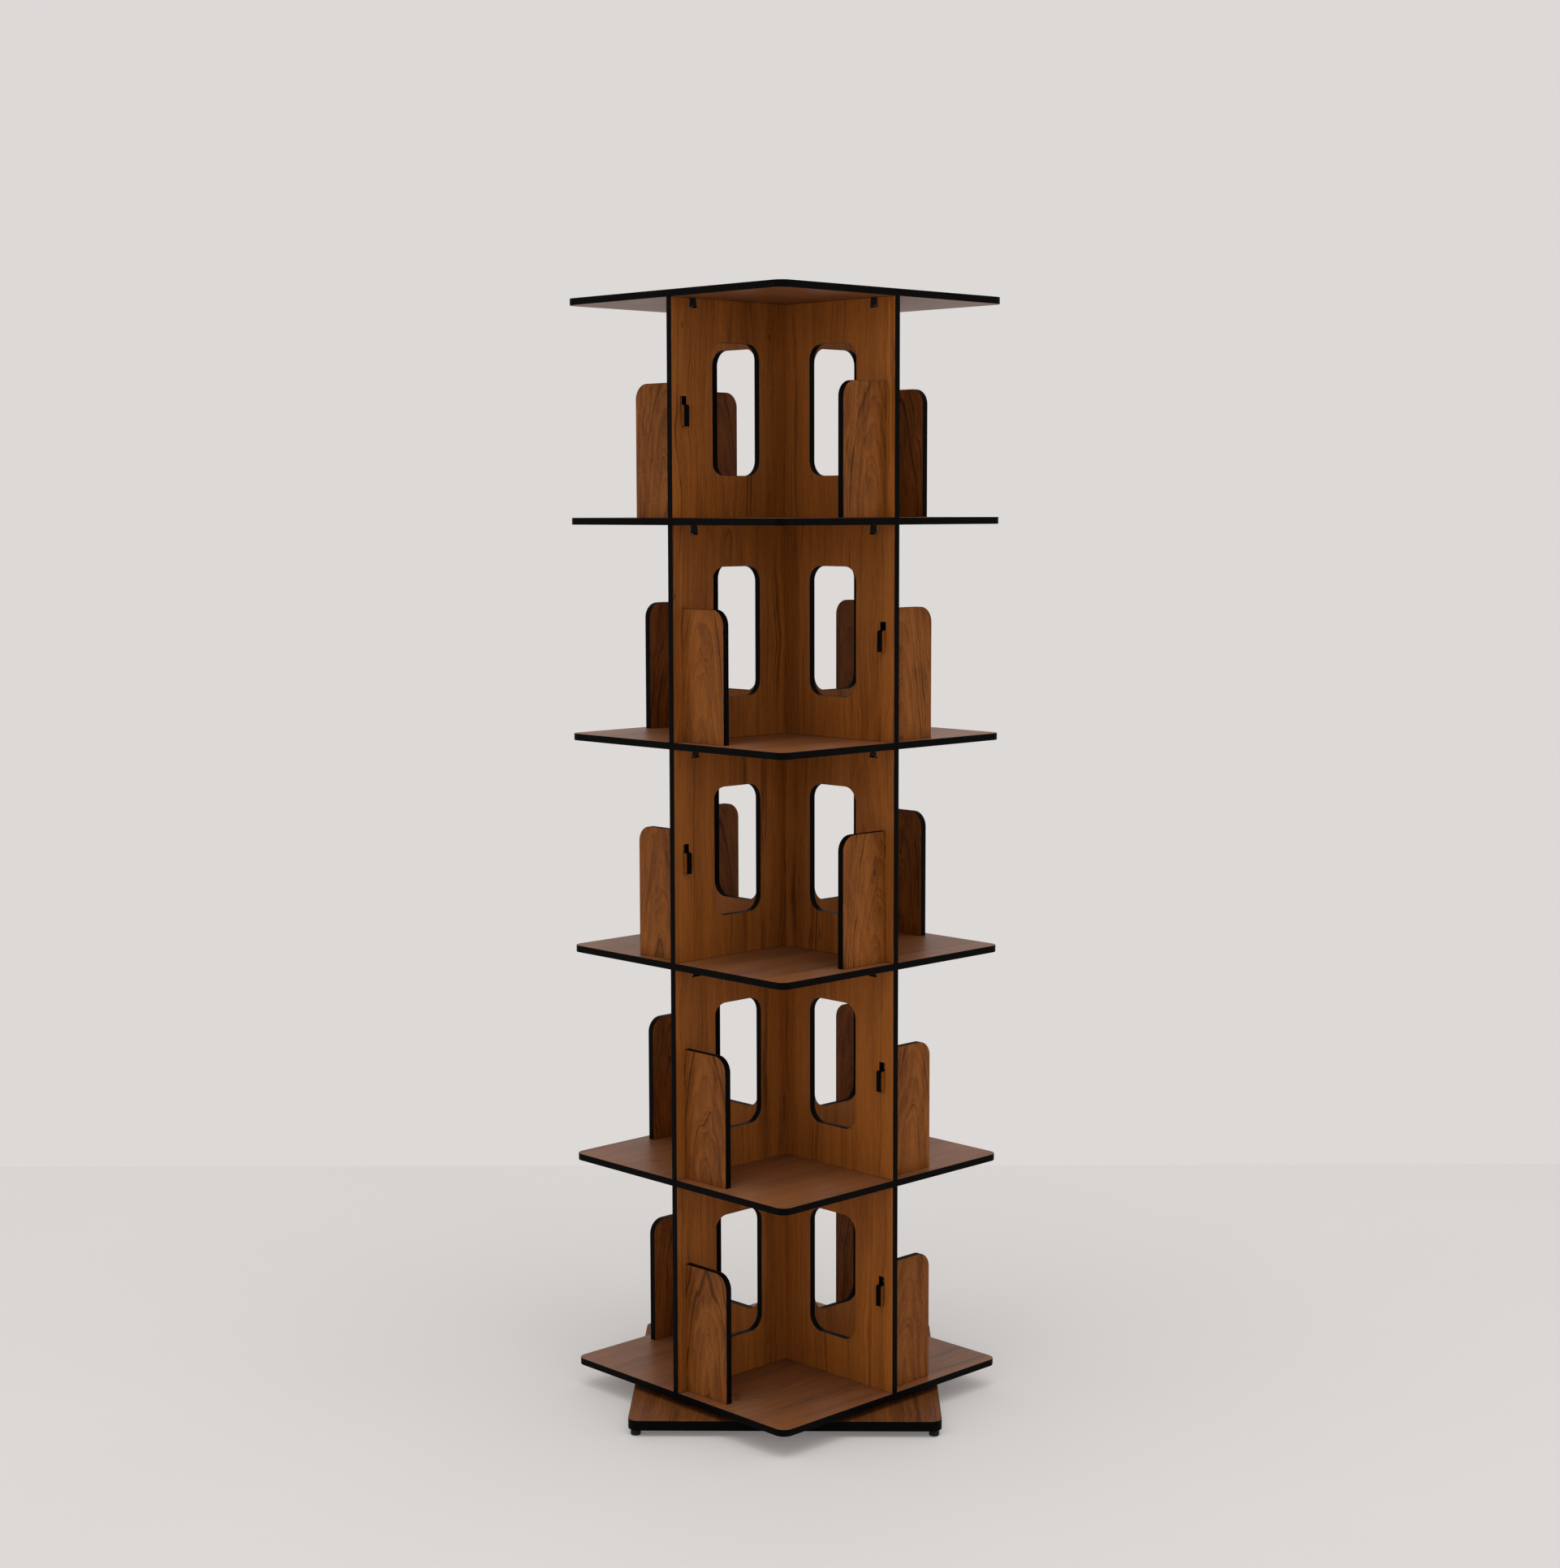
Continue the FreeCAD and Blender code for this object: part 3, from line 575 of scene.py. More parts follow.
def set_values(mesh, name, values):
    """Write one attribute of the mesh's points from an array of numbers or of vectors."""
    array = np.ascontiguousarray(values, dtype=np.float32)
    kind, key = ("FLOAT_VECTOR", "vector") if array.ndim == 2 else ("FLOAT", "value")
    mesh.attributes.new(name, kind, "POINT").data.foreach_set(key, array.ravel())


def rows_of(parts, key, width, kind=np.float32):
    """One property of a mesh's points, edges or faces, as the rows of an array."""
    flat = np.empty(len(parts) * width, dtype=kind)
    parts.foreach_get(key, flat)
    return flat.reshape(-1, width)


def points_of(mesh):
    """Places of the mesh's points as rows."""
    return rows_of(mesh.vertices, "co", 3).astype(float)


def joined_copy(node):
    """A copy of a node's mesh with its loose triangles joined, ready for work on its edges."""
    work = bmesh.new()
    work.from_mesh(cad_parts[node].data)
    bmesh.ops.remove_doubles(work, verts=work.verts, dist=JOIN_DISTANCE)
    return work


def plain_mesh(name, work):
    """The mesh of a copy that has been worked on."""
    mesh = bpy.data.meshes.new(name)
    work.to_mesh(mesh)
    work.free()
    return mesh


def finished_copy(plain, ease=None):
    """The mesh with even shading, after small rounds along its weighted edges if an ease is given."""
    draft = add_object("draft", plain)
    if ease:
        rounds = draft.modifiers.new("eased_edges", "BEVEL")
        rounds.limit_method = "WEIGHT"
        rounds.width = ease
        rounds.segments = 2
        rounds.miter_outer = "MITER_ARC"
    draft.modifiers.new("even_shading", "WEIGHTED_NORMAL").keep_sharp = True
    ready = draft.evaluated_get(bpy.context.evaluated_depsgraph_get())
    mesh = bpy.data.meshes.new_from_object(ready)
    bpy.data.objects.remove(draft)
    bpy.data.meshes.remove(plain)
    return mesh


# Boards.

class Figure(NamedTuple):
    """What a kind of board draws for its figure, as four ranges, and what all boards of the kind share."""

    pith_across: tuple
    pith_depth: tuple
    lean: tuple
    tone: tuple
    strength: float
    dust_and_sheen: float
    # Share of the greyish mix: partly dust, partly painted sheen.
    lacquer: float


# Pith places are in metres from a board's middle and its faces, and the lean is a slope along the grain.
FIGURES = {
    # The base's darker tone is partly its own colour and partly painted shade under the bottom shelf.
    "base": Figure(
        pith_across=(-0.16, 0.16), pith_depth=(0.035, 0.07), lean=(-0.03, 0.03), tone=(0.62, 0.68),
        strength=0.5, dust_and_sheen=0.05, lacquer=0.14,
    ),
    "plate": Figure(
        pith_across=(-0.16, 0.16), pith_depth=(0.035, 0.07), lean=(-0.03, 0.03), tone=(0.36, 0.48),
        strength=0.5, dust_and_sheen=0.2, lacquer=0.48,
    ),
    "panel": Figure(
        pith_across=(-0.15, 0.15), pith_depth=(0.012, 0.03), lean=(0.03, 0.07), tone=(-0.05, 0.2),
        strength=0.78, dust_and_sheen=0.0, lacquer=0.12,
    ),
    "stop": Figure(
        pith_across=(-0.018, 0.018), pith_depth=(0.034, 0.042), lean=(0.14, 0.22), tone=(0.33, 0.43),
        strength=0.82, dust_and_sheen=0.0, lacquer=0.12,
    ),
}
# Step in depth of the figure from a board's middle to each of its faces, and reach of the figure's shift
# along the grain, in metres.
FACE_STEP = 0.012
SHIFT_REACH = 9
# Depth share of an underside that has no veneer.
UNFACED = 0.8
# First numbers of the random draws, to which the boards' own numbers are added.
BASE_SEED = 11
PLATE_SEED = 20
PANEL_X_SEED = 40
PANEL_Y_SEED = 50
STOP_SEED = 70


def board_triangles(node):
    """Points and triangles of a node's mesh, joined into one shell."""
    work = joined_copy(node)
    bmesh.ops.triangulate(work, faces=work.faces)
    mesh = plain_mesh(f"{node}_plain", work)
    points = points_of(mesh)
    triangles = rows_of(mesh.polygons, "vertices", 3, np.int32).astype(np.int64)
    bpy.data.meshes.remove(mesh)
    return points, triangles


def outline_girths(start, end, length, count):
    """Length of the outline on which each point lies, from the sides' starts, ends and lengths.

    Every point takes the lowest number on its outline, in hops along the sides that double with each round.
    """
    hop = np.arange(count)
    hop[start] = end
    loop = np.arange(count)
    for _ in range(LOOP_DOUBLINGS):
        loop = np.minimum(loop, loop[hop])
        hop = hop[hop]
    return np.bincount(loop[start], weights=length, minlength=count)[loop]


def eased_board(node, through, ease):
    """A copy of a board whose two faces meet its cut edges in small rounds.

    Along each outline of a face, the face draws back by the ease and the cut edge drops by it, and two
    strips join them over a quarter round. A point half way round lies (1 - cos 45) of the ease back and as
    far down. At a corner, with the inward normals n and m of its two sides, the face draws back along
    2 (n + m) / |n + m|^2. An outline shorter than SMALL_OUTLINE, such as a bolt hole's, stays sharp.
    """
    points, triangles = board_triangles(node)
    count = len(points)
    depth = (points - (points.min(0) + points.max(0)) / 2) @ through
    side = np.where(np.abs(depth) > depth.max() - JOIN_DISTANCE, np.sign(depth), 0)
    on_face = (side[triangles] != 0).all(1) & (side[triangles] == side[triangles[:, :1]]).all(1)
    faces = triangles[on_face]
    around = faces[:, [0, 1, 1, 2, 2, 0]].reshape(-1, 2)
    outline = around[~np.isin(around @ (count, 1), around @ (1, count))]
    start, end = outline.T
    run = points[end] - points[start]
    length = np.linalg.norm(run, axis=1)
    outward = side[:, None] * through
    inward = np.cross(outward[start], run / length[:, None])
    both = np.zeros((count, 3))
    np.add.at(both, start, inward)
    np.add.at(both, end, inward)
    back = 2 * both / np.maximum((both ** 2).sum(1), SHARPEST_CORNER)[:, None]
    start, end = outline[outline_girths(start, end, length, count)[start] > SMALL_OUTLINE].T
    eased = np.unique(start)
    middle = np.arange(count)
    middle[eased] = count + np.arange(len(eased))
    upper = np.arange(count)
    upper[eased] = count + len(eased) + np.arange(len(eased))
    half_way = (1 - math.cos(math.radians(45))) * ease
    grown = np.concatenate([
        points,
        points[eased] + half_way * (back - outward)[eased],
        points[eased] + ease * back[eased],
    ])
    grown[eased] -= ease * outward[eased]
    strips = np.concatenate([
        np.stack([start, end, middle[end], middle[start]], axis=1),
        np.stack([middle[start], middle[end], upper[end], upper[start]], axis=1),
    ])
    mesh = bpy.data.meshes.new(f"{node}_eased")
    flat_faces = np.concatenate([upper[faces], triangles[~on_face]])
    mesh.from_pydata(grown, [], flat_faces.tolist() + strips.tolist())
    mesh.shade_smooth()
    mesh.set_sharp_from_angle(angle=CORNER_ANGLE)
    return finished_copy(mesh)


def veneered_board(node, body, grain, across, through, kind, seed):
    """An eased copy of a board that carries its veneer's place and its own depth.

    Place across, along and through the board is the distance from its middle along three directions. The
    veneer's vector is (across - pith, pith depth + lean times along + a step by face, along + a shift).
    """
    mesh = eased_board(node, through, bpy.context.scene.bookcase_boards.ease)
    points = points_of(mesh)
    local = points - (points.min(0) + points.max(0)) / 2
    depth = local @ through
    along = local @ grain
    figure = FIGURES[kind]
    draw = np.random.default_rng(seed)
    pith_across = draw.uniform(*figure.pith_across)
    pith_depth = draw.uniform(*figure.pith_depth)
    lean = draw.uniform(*figure.lean)
    tone = draw.uniform(*figure.tone)
    shift = draw.uniform(0, SHIFT_REACH)
    set_values(mesh, "veneer", np.stack([
        local @ across - pith_across,
        pith_depth + lean * along + FACE_STEP * np.sign(depth),
        along + shift,
    ], axis=1))
    set_values(mesh, "veneer_look", np.tile((tone, figure.strength, figure.dust_and_sheen), (len(points), 1)))
    set_values(mesh, "lacquer", np.full(len(points), figure.lacquer))
    share = depth / depth.max()
    set_values(mesh, "board_depth", np.maximum(share, -UNFACED) if kind == "base" else share)
    new_piece(f"{node}_veneered", mesh, body, board_finish(), node)


class BOOKCASE_OT_base_board(bpy.types.Operator):
    """Veneer the base plate, with its grain from front to back"""

    bl_idname = "bookcase.base_board"
    bl_label = "Base board"

    def execute(self, context):
        veneered_board("base_plate", "base", FRONT_TO_BACK, ACROSS_BASE, UPRIGHT, "base", BASE_SEED)
        return {"FINISHED"}


class BOOKCASE_OT_shelf_plates(bpy.types.Operator):
    """Veneer the six square plates, with their grain along X"""

    bl_idname = "bookcase.shelf_plates"
    bl_label = "Shelf plates"

    def execute(self, context):
        for number, node in enumerate(SHELF_PLATES):
            veneered_board(node, "carousel", ALONG_X, ALONG_Y, UPRIGHT, "plate", PLATE_SEED + number)
        return {"FINISHED"}


class BOOKCASE_OT_spine_panels(bpy.types.Operator):
    """Veneer the crossing spine panels, with upright grain"""

    bl_idname = "bookcase.spine_panels"
    bl_label = "Spine panels"

    def execute(self, context):
        for tier in range(1, TIERS + 1):
            for name, across, through, seed in (
                ("x", ALONG_X, ALONG_Y, PANEL_X_SEED), ("y", ALONG_Y, ALONG_X, PANEL_Y_SEED),
            ):
                node = f"spine_panel_{tier}_{name}"
                veneered_board(node, "carousel", UPRIGHT, across, through, "panel", seed + tier)
        return {"FINISHED"}


class BOOKCASE_OT_book_stops(bpy.types.Operator):
    """Veneer the hooked book stops, with upright arched grain"""

    bl_idname = "bookcase.book_stops"
    bl_label = "Book stops"

    def execute(self, context):
        stops = sorted(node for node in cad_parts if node.startswith("book_stop_"))
        for number, node in enumerate(stops):
            low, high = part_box(node)
            thin_in_x = high.x - low.x < high.y - low.y
            across, through = (ALONG_Y, ALONG_X) if thin_in_x else (ALONG_X, ALONG_Y)
            veneered_board(node, "carousel", UPRIGHT, across, through, "stop", STOP_SEED + number)
        return {"FINISHED"}


# Turned pieces.

# Countersunk screws, in metres: pitch and depth of the thread, depth of the socket, its chamfer, the rim
# of the head and the inset of the tip.
THREAD_PITCH = 0.0007
THREAD_DEPTH = 0.0003
SOCKET_DEPTH = 0.0016
SOCKET_CHAMFER = 0.0002
HEAD_RIM = 0.00025
TIP_INSET = 0.0008
# A short screw's socket is this share of its length deep, and the point of any socket's floor is this
# share of the socket's width.
SHORT_SOCKET_SHARE = 0.25
SOCKET_POINT_SHARE = 0.2


def lathe(profile, count, hexed=0):
    """Points, faces and wear of a profile carried round the Z axis.

    The profile has rows of radius r, height h and wear. A point is (r cos a, r sin a, h) for each row and
    each of the even angles a. In the first rows, as many as are hexed, r is divided by the cosine of the
    angle from the nearest flat, which makes a hexagon.
    """
    rows = np.asarray(profile, dtype=float)
    angles = np.arange(count) * 2 * np.pi / count
    hexagon_side = np.pi / 3
    off_flat = (angles + hexagon_side / 2) % hexagon_side - hexagon_side / 2
    in_hexagon = np.arange(len(rows))[:, None] < hexed
    radius = rows[:, :1] * np.where(in_hexagon, 1 / np.cos(off_flat), 1.0)
    height = np.repeat(rows[:, 1:2], count, axis=1)
    points = np.stack([radius * np.cos(angles), radius * np.sin(angles), height], axis=-1).reshape(-1, 3)
    row, column = np.meshgrid(np.arange(len(rows) - 1), np.arange(count), indexing="ij")
    after = (column + 1) % count
    faces = np.stack([
        row * count + column, row * count + after, (row + 1) * count + after, (row + 1) * count + column,
    ], axis=-1).reshape(-1, 4)
    return points, faces, np.repeat(rows[:, 2], count)


def with_wear(rows, wear):
    """Rows of radius and height that all get the same wear."""
    return [(radius, height, wear) for radius, height in rows]


def ridges(radius, heights, depth, crest_wear, root_wear):
    """Rows at even heights whose radius steps in and out, for a thread or for grooves."""
    crest = np.arange(len(heights)) % 2 == 0
    girth = np.where(crest, radius, radius - depth)
    return np.stack([girth, heights, np.where(crest, crest_wear, root_wear)], axis=1).tolist()


def socket_screw(head, shank, length, socket):
    """A countersunk screw below the XY plane, with a hexagon socket in its head and a threaded shank.

    The profile runs from the socket's floor up its hexagon wall, over the head's flat ring, down the cone
    and along a shank whose radius steps in and out for the thread, to a chamfered tip.
    """
    cone = (head - shank) / 2
    depth = min(SOCKET_DEPTH, length * SHORT_SOCKET_SHARE)
    socket_rows = [
        (0, -depth - socket * SOCKET_POINT_SHARE, 0),
        (socket / 2, -depth, 0),
        (socket / 2, -SOCKET_CHAMFER, 0.2),
        (socket / 2 + SOCKET_CHAMFER, 0, 0.55),
    ]
    head_rows = [
        (head / 2 - HEAD_RIM, 0, 0.05),
        (head / 2, -HEAD_RIM, 0.5),
        (shank / 2, -cone - HEAD_RIM, 0.1),
    ]
    heights = np.arange(-cone - 2 * THREAD_PITCH, -length + 2 * THREAD_PITCH, -THREAD_PITCH / 2)
    thread_rows = ridges(shank / 2, heights, THREAD_DEPTH, crest_wear=0.7, root_wear=0)
    tip_rows = [
        (shank / 2 - THREAD_DEPTH, -length + THREAD_PITCH / 2, 0.3),
        (shank / 2 - TIP_INSET, -length, 0.6),
        (0, -length, 0),
    ]
    return lathe(socket_rows + head_rows + thread_rows + tip_rows, SLIM_POINTS, hexed=len(socket_rows))


def repeated_mesh(name, shape, places):
    """One mesh of a turned shape at many places, each a matrix, with joined poles and outward faces."""
    points, faces, wear = shape
    turns = np.asarray([np.array(place) for place in places])
    spread = np.einsum("kij,nj->kni", turns[:, :3, :3], points) + turns[:, None, :3, 3]
    stacked = faces[None] + (np.arange(len(places)) * len(points))[:, None, None]
    mesh = bpy.data.meshes.new(name)
    mesh.from_pydata(spread.reshape(-1, 3), [], stacked.reshape(-1, 4).tolist())
    set_values(mesh, "wear", np.tile(wear, len(places)))
    work = bmesh.new()
    work.from_mesh(mesh)
    bmesh.ops.remove_doubles(work, verts=work.verts, dist=JOIN_DISTANCE)
    bmesh.ops.recalc_face_normals(work, faces=work.faces)
    work.to_mesh(mesh)
    work.free()
    mesh.shade_smooth()
    mesh.set_sharp_from_angle(angle=SHARP_ANGLE)
    return mesh


def turned_piece(node, finish, shape, places, body, material):
    """A piece of one turned shape at many places, in place of its node."""
    name = f"{node}_{finish}"
    new_piece(name, repeated_mesh(name, shape, places), body, material, node)


def round_places(reach, heights, turns_deg, flipped=False):
    """Matrices that put a piece at a reach from the axis, at each height and turn, upside down if asked."""
    flip = Matrix.Rotation(math.pi, 4, "X") if flipped else Matrix.Identity(4)
    places = []
    for height in heights:
        for turn_deg in turns_deg:
            turn = Matrix.Rotation(math.radians(turn_deg), 4, "Z")
            places.append(turn @ Matrix.Translation((reach, 0, height)) @ flip)
    return places


# Feet and their screws.

# Foot, in metres: seat of the screw's head above the floor, radii of the recess and of the bore above it,
# rise of the sole at the recess, width of the small chamfers, radius of the rounded lower edge, depths
# below the top at which the groove ends and starts, and height of the chamfer along the top.
FOOT_SEAT = 0.003
FOOT_RECESS_RADIUS = 0.0038
FOOT_BORE_RADIUS = 0.0018
FOOT_HOLLOW = 0.0001
FOOT_CHAMFER = 0.0003
FOOT_ROUND = 0.0014
FOOT_GROOVE_END = 0.001
FOOT_GROOVE_START = 0.0022
FOOT_TOP_CHAMFER = 0.0002
# Angles of the points along the rounded lower edge, and the digits of a metre to which they are rounded.
FOOT_ROUND_DEG = (0, 30, 60, 90)
FOOT_ROUND_DIGITS = 4
# Cells to the metre of the moulded grain, and roughness.
FOOT_GRAIN = 1400.0
FOOT_ROUGHNESS = 0.5

# Foot screw, in metres: radii of its head and shank, half the pitch and the depth of its thread, the plain
# length at its tip, and the radius and length of its blunt point.
FOOT_SCREW_HEAD_RADIUS = 0.0035
FOOT_SCREW_RADIUS = 0.00175
FOOT_SCREW_STEP = 0.0006
FOOT_SCREW_DEPTH = 0.0003
FOOT_SCREW_TIP = 0.001
FOOT_SCREW_POINT = (0.0009, 0.0004)
# Wear of its shank.
FOOT_SCREW_WEAR = 0.2
# Rows of its hexagon drive, as radius, height above the head's face and wear.
FOOT_SCREW_DRIVE = ((0, 0.0009, 0), (0.0011, 0.0009, 0), (0.0013, 0.0001, 0.6))
# Rows of its head's domed edge, as inset from the rim, height above the face and wear.
FOOT_SCREW_DOME = ((0.0008, 0, 0.15), (0.0002, 0.0005, 0.5), (0, 0.0012, 0.3))


def foot_places(settings):
    """Places of the feet: under the base's corners and under the middles of its sides."""
    corner_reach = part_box("base_feet")[1].x - settings.foot_dia / 2
    side_reach = corner_reach / math.sqrt(2)
    corners = round_places(corner_reach, [0], WING_TURNS_DEG)
    return corners + round_places(side_reach, [0], BASE_SIDE_TURNS_DEG)


class BOOKCASE_OT_feet(bpy.types.Operator):
    """Mould the feet under the base, each with a screw recess, a rounded lower edge and a groove"""

    bl_idname = "bookcase.feet"
    bl_label = "Feet"

    def execute(self, context):
        settings = context.scene.bookcase_hardware
        rim = settings.foot_dia / 2
        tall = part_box("base_feet")[1].z
        turn = np.radians(FOOT_ROUND_DEG)
        inset = np.round(FOOT_ROUND * (1 - np.sin(turn)), FOOT_ROUND_DIGITS)
        lift = np.round(FOOT_ROUND * (1 - np.cos(turn)), FOOT_ROUND_DIGITS)
        groove_low = tall - FOOT_GROOVE_START
        groove_high = tall - FOOT_GROOVE_END
        foot = lathe(with_wear([
            (FOOT_BORE_RADIUS, tall),
            (FOOT_BORE_RADIUS, FOOT_SEAT),
            (FOOT_RECESS_RADIUS, FOOT_SEAT),
            (FOOT_RECESS_RADIUS, FOOT_HOLLOW + FOOT_CHAMFER),
            (FOOT_RECESS_RADIUS + FOOT_CHAMFER, FOOT_HOLLOW),
            *zip(rim - inset, lift),
            (rim, groove_low),
            (rim - FOOT_CHAMFER, groove_low + FOOT_CHAMFER),
            (rim - FOOT_CHAMFER, groove_high - FOOT_CHAMFER),
            (rim, groove_high),
            (rim, tall - FOOT_TOP_CHAMFER),
            (rim - FOOT_CHAMFER, tall),
            (FOOT_BORE_RADIUS, tall),
        ], 0), ROUND_POINTS)
        rubber = material_of("moulded_feet", moulded_material, settings.rubber, FOOT_GRAIN, FOOT_ROUGHNESS)
        turned_piece("base_feet", "moulded", foot, foot_places(settings), "base", rubber)
        return {"FINISHED"}


class BOOKCASE_OT_foot_screws(bpy.types.Operator):
    """Set the screws in the recesses of the feet"""

    bl_idname = "bookcase.foot_screws"
    bl_label = "Foot screws"

    def execute(self, context):
        low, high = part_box("foot_screws")
        head = FOOT_SCREW_HEAD_RADIUS
        rows = [(radius, low.z + height, wear) for radius, height, wear in FOOT_SCREW_DRIVE]
        rows += [(head - inset, low.z + height, wear) for inset, height, wear in FOOT_SCREW_DOME]
        rows += with_wear([(head, FOOT_SEAT), (FOOT_SCREW_RADIUS, FOOT_SEAT)], FOOT_SCREW_WEAR)
        heights = np.arange(FOOT_SEAT + FOOT_SCREW_STEP, high.z - FOOT_SCREW_TIP, FOOT_SCREW_STEP)
        rows += ridges(FOOT_SCREW_RADIUS, heights, FOOT_SCREW_DEPTH, FOOT_SCREW_WEAR, FOOT_SCREW_WEAR)
        point_radius, point_length = FOOT_SCREW_POINT
        rows += with_wear([(point_radius, high.z - point_length), (0, high.z)], FOOT_SCREW_WEAR)
        screw = lathe(rows, SLIM_POINTS, hexed=len(FOOT_SCREW_DRIVE))
        places = foot_places(context.scene.bookcase_hardware)
        turned_piece("foot_screws", "threaded", screw, places, "base", steel_finish())
        return {"FINISHED"}


# Bolts, nuts and pins.

# Nut: width of its chamfers, and length below which an edge belongs to its hole and gets none, in metres.
# Its wear grows by this much with the lean of its surface away from the three axes.
NUT_CHAMFER = 0.0005
SHORT_EDGE = 0.008
NUT_WEAR = 4

# Pin, in metres: its radius, the chamfer at its ends, the plain length at each end, half the pitch and the
# depth of its grooves.
PIN_RADIUS = 0.002
PIN_CHAMFER = 0.0005
PIN_PLAIN = 0.001
PIN_GROOVE_STEP = 0.0009
PIN_GROOVE_DEPTH = 0.00012
# Wear all over it.
PIN_WEAR = 0.4


def plate_tops():
    """Heights of the plates' upper faces, from the bottom shelf to the top panel."""
    return [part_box(node)[1].z for node in SHELF_PLATES]


def chamfered_copy(node, ease):
    """A copy of a node with its flat faces made whole and small rounds along its long sharp edges."""
    work = joined_copy(node)
    bmesh.ops.dissolve_limit(work, angle_limit=FLAT_ANGLE, verts=work.verts, edges=work.edges)
    mesh = plain_mesh(f"{node}_plain", work)
    mesh.shade_smooth()
    mesh.set_sharp_from_angle(angle=SHARP_ANGLE)
    sharp = rows_of(mesh.attributes["sharp_edge"].data, "value", 1, bool)[:, 0]
    start, end = rows_of(mesh.edges, "vertices", 2, np.int32).T
    points = points_of(mesh)
    rounded = sharp & (np.linalg.norm(points[start] - points[end], axis=1) > SHORT_EDGE)
    weights = mesh.attributes.new("bevel_weight_edge", "FLOAT", "EDGE")
    weights.data.foreach_set("value", rounded.astype(np.float32))
    mesh.attributes["sharp_edge"].data.foreach_set("value", sharp & ~rounded)
    return finished_copy(mesh, ease)


class BOOKCASE_OT_bolts(bpy.types.Operator):
    """Make the tie bolts of the inner shelves and the end bolts of the top panel and bottom shelf"""

    bl_idname = "bookcase.bolts"
    bl_label = "Bolts"

    def execute(self, context):
        settings = context.scene.bookcase_hardware
        low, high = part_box("end_bolts")
        reach = high.x - settings.bolt_head_dia / 2
        tops = plate_tops()
        length = tops[1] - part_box("tie_bolts")[0].z
        bolt = socket_screw(settings.bolt_head_dia, settings.bolt_dia, length, settings.socket_flats)
        ties = round_places(reach, tops[1:-1], WING_TURNS_DEG)
        ends = round_places(reach, tops[-1:], WING_TURNS_DEG)
        ends += round_places(reach, [low.z], WING_TURNS_DEG, flipped=True)
        for node, places in (("tie_bolts", ties), ("end_bolts", ends)):
            turned_piece(node, "threaded", bolt, places, "carousel", steel_finish())
        return {"FINISHED"}


class BOOKCASE_OT_captive_nuts(bpy.types.Operator):
    """Chamfer the dovetail nuts in the panels"""

    bl_idname = "bookcase.captive_nuts"
    bl_label = "Captive nuts"

    def execute(self, context):
        node = "captive_nuts"
        nuts = chamfered_copy(node, NUT_CHAMFER)
        leaning = 1 - np.abs(rows_of(nuts.vertex_normals, "vector", 3)).max(axis=1)
        set_values(nuts, "wear", np.clip(leaning * NUT_WEAR, 0, 1))
        new_piece(f"{node}_chamfered", nuts, "carousel", steel_finish(), node)
        return {"FINISHED"}


class BOOKCASE_OT_locating_pins(bpy.types.Operator):
    """Make the grooved pins that place each tier's panels on the plate below"""

    bl_idname = "bookcase.locating_pins"
    bl_label = "Locating pins"

    def execute(self, context):
        low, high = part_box("locating_pins")
        tops = plate_tops()
        bottom = low.z - tops[1]
        top = high.z - tops[-2]
        inner = PIN_RADIUS - PIN_CHAMFER
        heights = np.arange(bottom + PIN_PLAIN, top - PIN_PLAIN, PIN_GROOVE_STEP)
        rows = with_wear([(0, bottom), (inner, bottom), (PIN_RADIUS, bottom + PIN_CHAMFER)], PIN_WEAR)
        rows += ridges(PIN_RADIUS, heights, PIN_GROOVE_DEPTH, PIN_WEAR, PIN_WEAR)
        rows += with_wear([(PIN_RADIUS, top - PIN_CHAMFER), (inner, top), (0, top)], PIN_WEAR)
        places = round_places(high.x - PIN_RADIUS, tops[1:-1], WING_TURNS_DEG)
        pin = lathe(rows, SLIM_POINTS)
        turned_piece("locating_pins", "grooved", pin, places, "carousel", steel_finish())
        return {"FINISHED"}


# Turntable.

# Diameter of a ring screw's shank, in metres.
RING_SCREW_DIA = 0.004
# Cells to the metre of the cage's moulded grain, and its roughness.
CAGE_GRAIN = 900.0
CAGE_ROUGHNESS = 0.42


def screw_reach(node, head):
    """Distance from the axis at which a ring of screws stands, from the farthest point of its node."""
    points = points_of(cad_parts[node].data)
    return float(np.hypot(points[:, 0], points[:, 1]).max()) - head / 2


class BOOKCASE_OT_turntable_rings(bpy.types.Operator):
    """Finish the two rings and the ball cage of the turntable as they stand"""

    bl_idname = "bookcase.turntable_rings"
    bl_label = "Turntable rings"

    def execute(self, context):
        settings = context.scene.bookcase_hardware
        turned = material_of("turned_rings", turned_metal_material, settings.turned_metal)
        cage = material_of("moulded_cage", moulded_material, settings.cage, CAGE_GRAIN, CAGE_ROUGHNESS)
        for node, material in (
            ("turntable_outer_ring", turned),
            ("turntable_inner_ring", turned),
            ("turntable_ball_cage", cage),
        ):
            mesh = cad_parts[node].data
            mesh.materials.clear()
            mesh.materials.append(material)
        return {"FINISHED"}


class BOOKCASE_OT_turntable_balls(bpy.types.Operator):
    """Make the polished balls between the rings"""

    bl_idname = "bookcase.turntable_balls"
    bl_label = "Turntable balls"

    def execute(self, context):
        settings = context.scene.bookcase_hardware
        low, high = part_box("turntable_balls")
        radius = settings.ball_dia / 2
        angles = np.linspace(0, np.pi, BALL_ROWS)
        ball = lathe(with_wear(zip(radius * np.sin(angles), -radius * np.cos(angles)), 0), SLIM_POINTS)
        places = round_places(high.y - radius, [(low.z + high.z) / 2], BALL_TURNS_DEG)
        polished = material_of("polished_balls", polished_ball_material, settings.ball_steel)
        turned_piece("turntable_balls", "polished", ball, places, "ball_race", polished)
        return {"FINISHED"}


